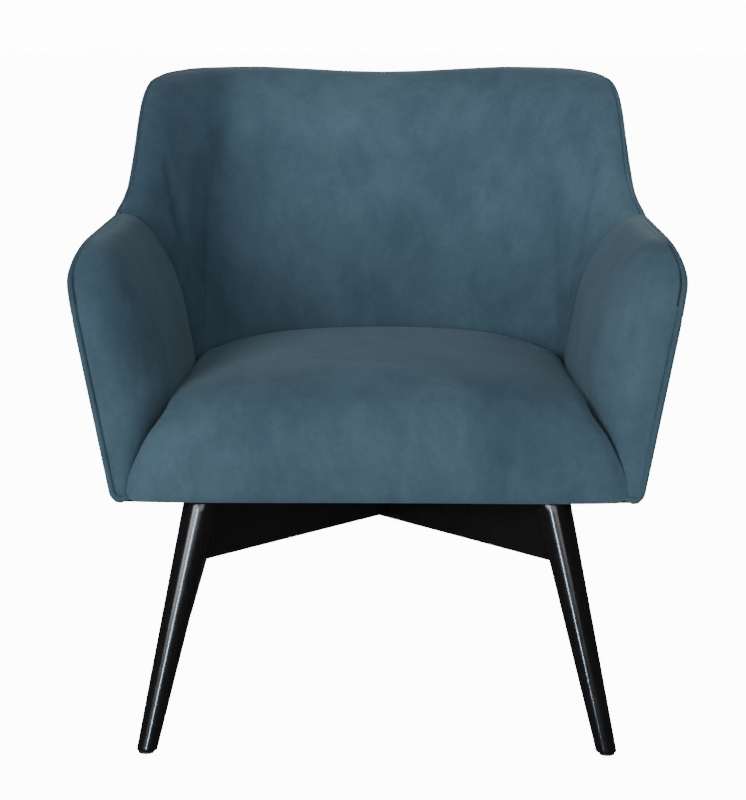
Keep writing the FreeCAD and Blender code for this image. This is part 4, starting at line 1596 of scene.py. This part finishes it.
@dataclass
class DustCover:
    """The thin black lining stretched under the frame, stapled round its edge."""

    finishes: Finishes
    z_low: float = 0.2891
    thick: float = 0.0006
    inset: float = 0.004
    staple_inset: float = 0.016
    staple_spacing: float = 0.034
    staple_half: float = 0.005
    staple_wire: float = 0.0004
    rings: int = 14
    allowance: float = 0.002

    def outline(self, inset: float) -> Grid:
        """The lining's edge, set in from the covers."""
        z = np.array([0.291])
        right = []
        for y in np.linspace(SHELL.front_y + 0.006 + inset, SHELL.plan_y, 24):
            right.append((float(SHELL.arm_outer(y, z[0])) - inset, float(y)))
        for theta in np.linspace(0.0, math.pi / 2.0, 40)[1:]:
            radius = float(SHELL.radius(SHELL.outer_levels, np.array([theta]), z)[0]) - inset
            right.append((radius * math.cos(theta), SHELL.plan_y + radius * math.sin(theta)))
        left = [(-x, y) for x, y in right[-2::-1]]
        return np.array(right + left)

    def make(self, tree: PathTree) -> bpy.types.Object:
        """Build the lining and its staples."""
        edge = self.outline(self.inset)
        centre = edge.mean(axis=0)
        rings, count = self.rings, len(edge)
        points, faces = [], []
        for z in (self.z_low, self.z_low + self.thick):
            for ring in range(rings + 1):
                part = (ring + 0.02) / (rings + 0.02)
                for spot in edge:
                    place = centre + (spot - centre) * part
                    points.append((place[0], place[1], z))
        block = (rings + 1) * count
        for layer in (0, 1):
            for ring in range(rings):
                for j in range(count):
                    k = (j + 1) % count
                    a, b = layer * block + ring * count + j, layer * block + ring * count + k
                    faces.append((a, b, b + count, a + count))
            faces.append([layer * block + j for j in range(count)])
        for j in range(count):
            k = (j + 1) % count
            a, b = rings * count + j, rings * count + k
            faces.append((a, b, b + block, a + block))
        piece = new_object("dust_lining", points, faces)
        dress(piece, self.finishes.lining)
        keep(piece, "lining", "dust_cover")
        self.staples(tree)
        return piece

    def staples(self, tree: PathTree) -> None:
        """A row of staples round the lining."""
        crown = np.array([(0.0, 0.0, share * self.staple_half) for share in (-1.0, 0.0, 1.0)])
        shape = tube("staple_shape", crown, self.staple_wire, 6)
        edge = self.outline(self.staple_inset)
        z = self.z_low - 0.0001
        path = even(np.array([(x, y, z) for x, y in np.vstack([edge, edge[:1]])]), 0.01)
        row = path_object("staple_row", path)
        tree.bake(row, Spacing=self.staple_spacing, Part=shape, Wander=0.25, Seed=4,
                  Material=self.finishes.steel)
        bpy.data.objects.remove(shape)
        keep(row, "plated_steel")


@dataclass
class SlipStitches:
    """The hand stitches that close the back cover onto the side covers."""

    finishes: Finishes
    length: float = 0.0042
    radius: float = 0.00035
    spacing: float = 0.0085

    def make(self, tree: PathTree, panels: OutsidePanels) -> None:
        """Sew one seam on each side, as one piece."""
        thread = np.array([(0.0, 0.0, share * self.length) for share in (-0.5, 0.0, 0.5)])
        shape = tube("stitch_shape", thread, self.radius, 6)
        theta = np.array([panels.corner])
        runs = []
        for side in Side:
            path = []
            for z in np.linspace(0.300, float(SHELL.crest(theta)[0]) - 0.010, 90):
                height = np.array([z])
                tuck = SHELL.tucked(SHELL.crest(theta) - height, SHELL.tub_tuck(theta))
                reach = float((SHELL.radius(SHELL.outer_levels, theta, height) - tuck)[0]) - 0.0006
                path.append((side.value * reach * math.cos(panels.corner),
                             SHELL.plan_y + reach * math.sin(panels.corner), z))
            row = path_object("slip_stitches_" + side.word, even(np.array(path), 0.004))
            tree.bake(row, Spacing=self.spacing, Part=shape, Wander=0.12, Seed=9,
                      Material=self.finishes.thread)
            runs.append(row)
        bpy.data.objects.remove(shape)
        for row in runs:
            keep(row, "welt_velvet")


# ---------------------------------------------------------------- studio


@dataclass(frozen=True)
class Lamp:
    """A soft rectangular light: where it stands, what it faces, its size, watts and tint."""

    name: str
    place: Row
    aim: Row
    size: Tuple[float, float]
    power: float
    colour: Row = (1.0, 1.0, 1.0)
    gloss_only: bool = False

    def make(self) -> None:
        """Put the light in the scene; one that is gloss_only adds no diffuse light."""
        light = bpy.data.lights.new(self.name, "AREA")
        light.shape = "RECTANGLE"
        light.size, light.size_y = self.size
        light.energy = self.power
        light.color = self.colour
        lamp = bpy.data.objects.new(self.name, light)
        lamp.location = self.place
        lamp.visible_diffuse = not self.gloss_only
        lamp.rotation_euler = (Vector(self.aim) - Vector(self.place)).to_track_quat("-Z", "Y").to_euler()
        bpy.context.scene.collection.objects.link(lamp)


@dataclass
class Studio:
    """A pale floor, soft lights and the camera."""

    lamps: Tuple[Lamp, ...] = (
        Lamp("key_softbox", (-1.9, -2.9, 1.35), (0.0, 0.0, 0.45), (1.4, 1.4), 54.0),
        Lamp("front_fill", (0.3, -4.2, 1.35), (0.0, 0.0, 0.50), (2.0, 1.4), 32.0),
        Lamp("top_fill", (0.0, -0.4, 3.0), (0.0, 0.0, 0.40), (2.5, 2.5), 7.0),
        Lamp("rear_fill", (1.2, 3.4, 1.0), (0.0, 0.2, 0.50), (2.0, 1.2), 40.0),
        Lamp("strip_light", (-0.85, -2.85, 0.52), (-0.1, -0.3, 0.30), (0.085, 1.2), 55.0,
             (0.58, 0.76, 1.0), gloss_only=True),
    )
    camera_place: Tuple[float, float, float] = (0.035, -3.325, 0.980)
    camera_pitch: float = 10.61
    camera_turn: float = 0.743
    lens: float = 121.0
    seen_white: float = 14.0
    surround: float = 0.27
    mirrored: float = 0.05
    floor_glow: float = 0.90

    def make(self) -> None:
        """Set up floor, world, lights and camera."""
        self.floor()
        self.world()
        for lamp in self.lamps:
            lamp.make()
        self.camera()

    def split(self, tree: bpy.types.NodeTree, shaders: Sequence[bpy.types.Node],
              last: bpy.types.Node) -> None:
        """Choose what the camera sees apart from what lights the chair.

        Args:
            tree: the node tree of the floor or the surround.
            shaders: what lights the chair, and what the camera sees.
            last: the output node.
        """
        path = tree.nodes.new("ShaderNodeLightPath")
        mix = tree.nodes.new("ShaderNodeMixShader")
        tree.links.new(path.outputs["Is Camera Ray"], mix.inputs[0])
        tree.links.new(shaders[0].outputs[0], mix.inputs[1])
        tree.links.new(shaders[1].outputs[0], mix.inputs[2])
        tree.links.new(mix.outputs[0], last.inputs["Surface"])

    def floor(self) -> None:
        """A wide pale floor, which the camera sees near white and polished surfaces don't reflect."""
        size = 14.0
        mesh = bpy.data.meshes.new("floor")
        mesh.from_pydata([(-size, -size, 0.0), (size, -size, 0.0), (size, size, 0.0), (-size, size, 0.0)], [],
                         [(0, 1, 2, 3)])
        floor = bpy.data.objects.new("floor", mesh)
        bpy.context.scene.collection.objects.link(floor)
        nodes = Nodes("pale_floor")
        nodes.set(Base_Color=(0.90, 0.90, 0.90, 1.0), Roughness=0.7, Specular_IOR_Level=0.1)
        glow = nodes.add("ShaderNodeEmission")
        glow.inputs["Strength"].default_value = self.seen_white
        blend = nodes.add("ShaderNodeMixShader")
        blend.inputs[0].default_value = self.floor_glow
        nodes.link(nodes.shader, "BSDF", blend, "Shader")
        nodes.tree.links.new(glow.outputs[0], blend.inputs[2])
        self.split(nodes.tree, (nodes.shader, blend), nodes.output)
        mesh.materials.append(nodes.material)
        floor.visible_glossy = False

    def world(self) -> None:
        """An even surround: near white to the camera, dimmer as light, dimmest in reflections."""
        world = bpy.data.worlds.new("studio_white")
        world.use_nodes = True
        tree = world.node_tree
        lit = tree.nodes["Background"]
        lit.inputs["Strength"].default_value = self.surround
        seen = tree.nodes.new("ShaderNodeBackground")
        seen.inputs["Color"].default_value = (1.0, 1.0, 1.0, 1.0)
        lit.inputs["Color"].default_value = (0.96, 0.98, 1.0, 1.0)
        seen.inputs["Strength"].default_value = self.seen_white
        gloss = tree.nodes.new("ShaderNodeBackground")
        gloss.inputs["Strength"].default_value = self.mirrored
        path = tree.nodes.new("ShaderNodeLightPath")
        inner = tree.nodes.new("ShaderNodeMixShader")
        tree.links.new(path.outputs["Is Glossy Ray"], inner.inputs[0])
        tree.links.new(lit.outputs[0], inner.inputs[1])
        tree.links.new(gloss.outputs[0], inner.inputs[2])
        self.split(tree, (inner, seen), tree.nodes["World Output"])
        bpy.context.scene.world = world

    def camera(self) -> None:
        """The camera, level across and tilted down at the seat."""
        data = bpy.data.cameras.new("camera")
        data.lens = self.lens
        data.sensor_width = 36.0
        camera = bpy.data.objects.new("camera", data)
        camera.location = self.camera_place
        camera.rotation_euler = (math.radians(90.0 - self.camera_pitch), 0.0, math.radians(self.camera_turn))
        bpy.context.scene.collection.objects.link(camera)
        bpy.context.scene.camera = camera


def main() -> None:
    finishes = Finishes()
    finishes.dress_frame()
    cords, rows = cord_tree(), row_tree()
    InsideArms(finishes).make()
    InsideBack(finishes).make()
    SeatCushion(finishes).make()
    panels = OutsidePanels(finishes)
    panels.make()
    EdgeRoll(finishes).make(cords)
    SlipStitches(finishes).make(rows, panels)
    Base(finishes).make()
    DustCover(finishes).make(rows)
    Studio().make()


if __name__ == "__main__":
    logging.basicConfig(level=logging.INFO, format="%(name)s: %(message)s")
    main()
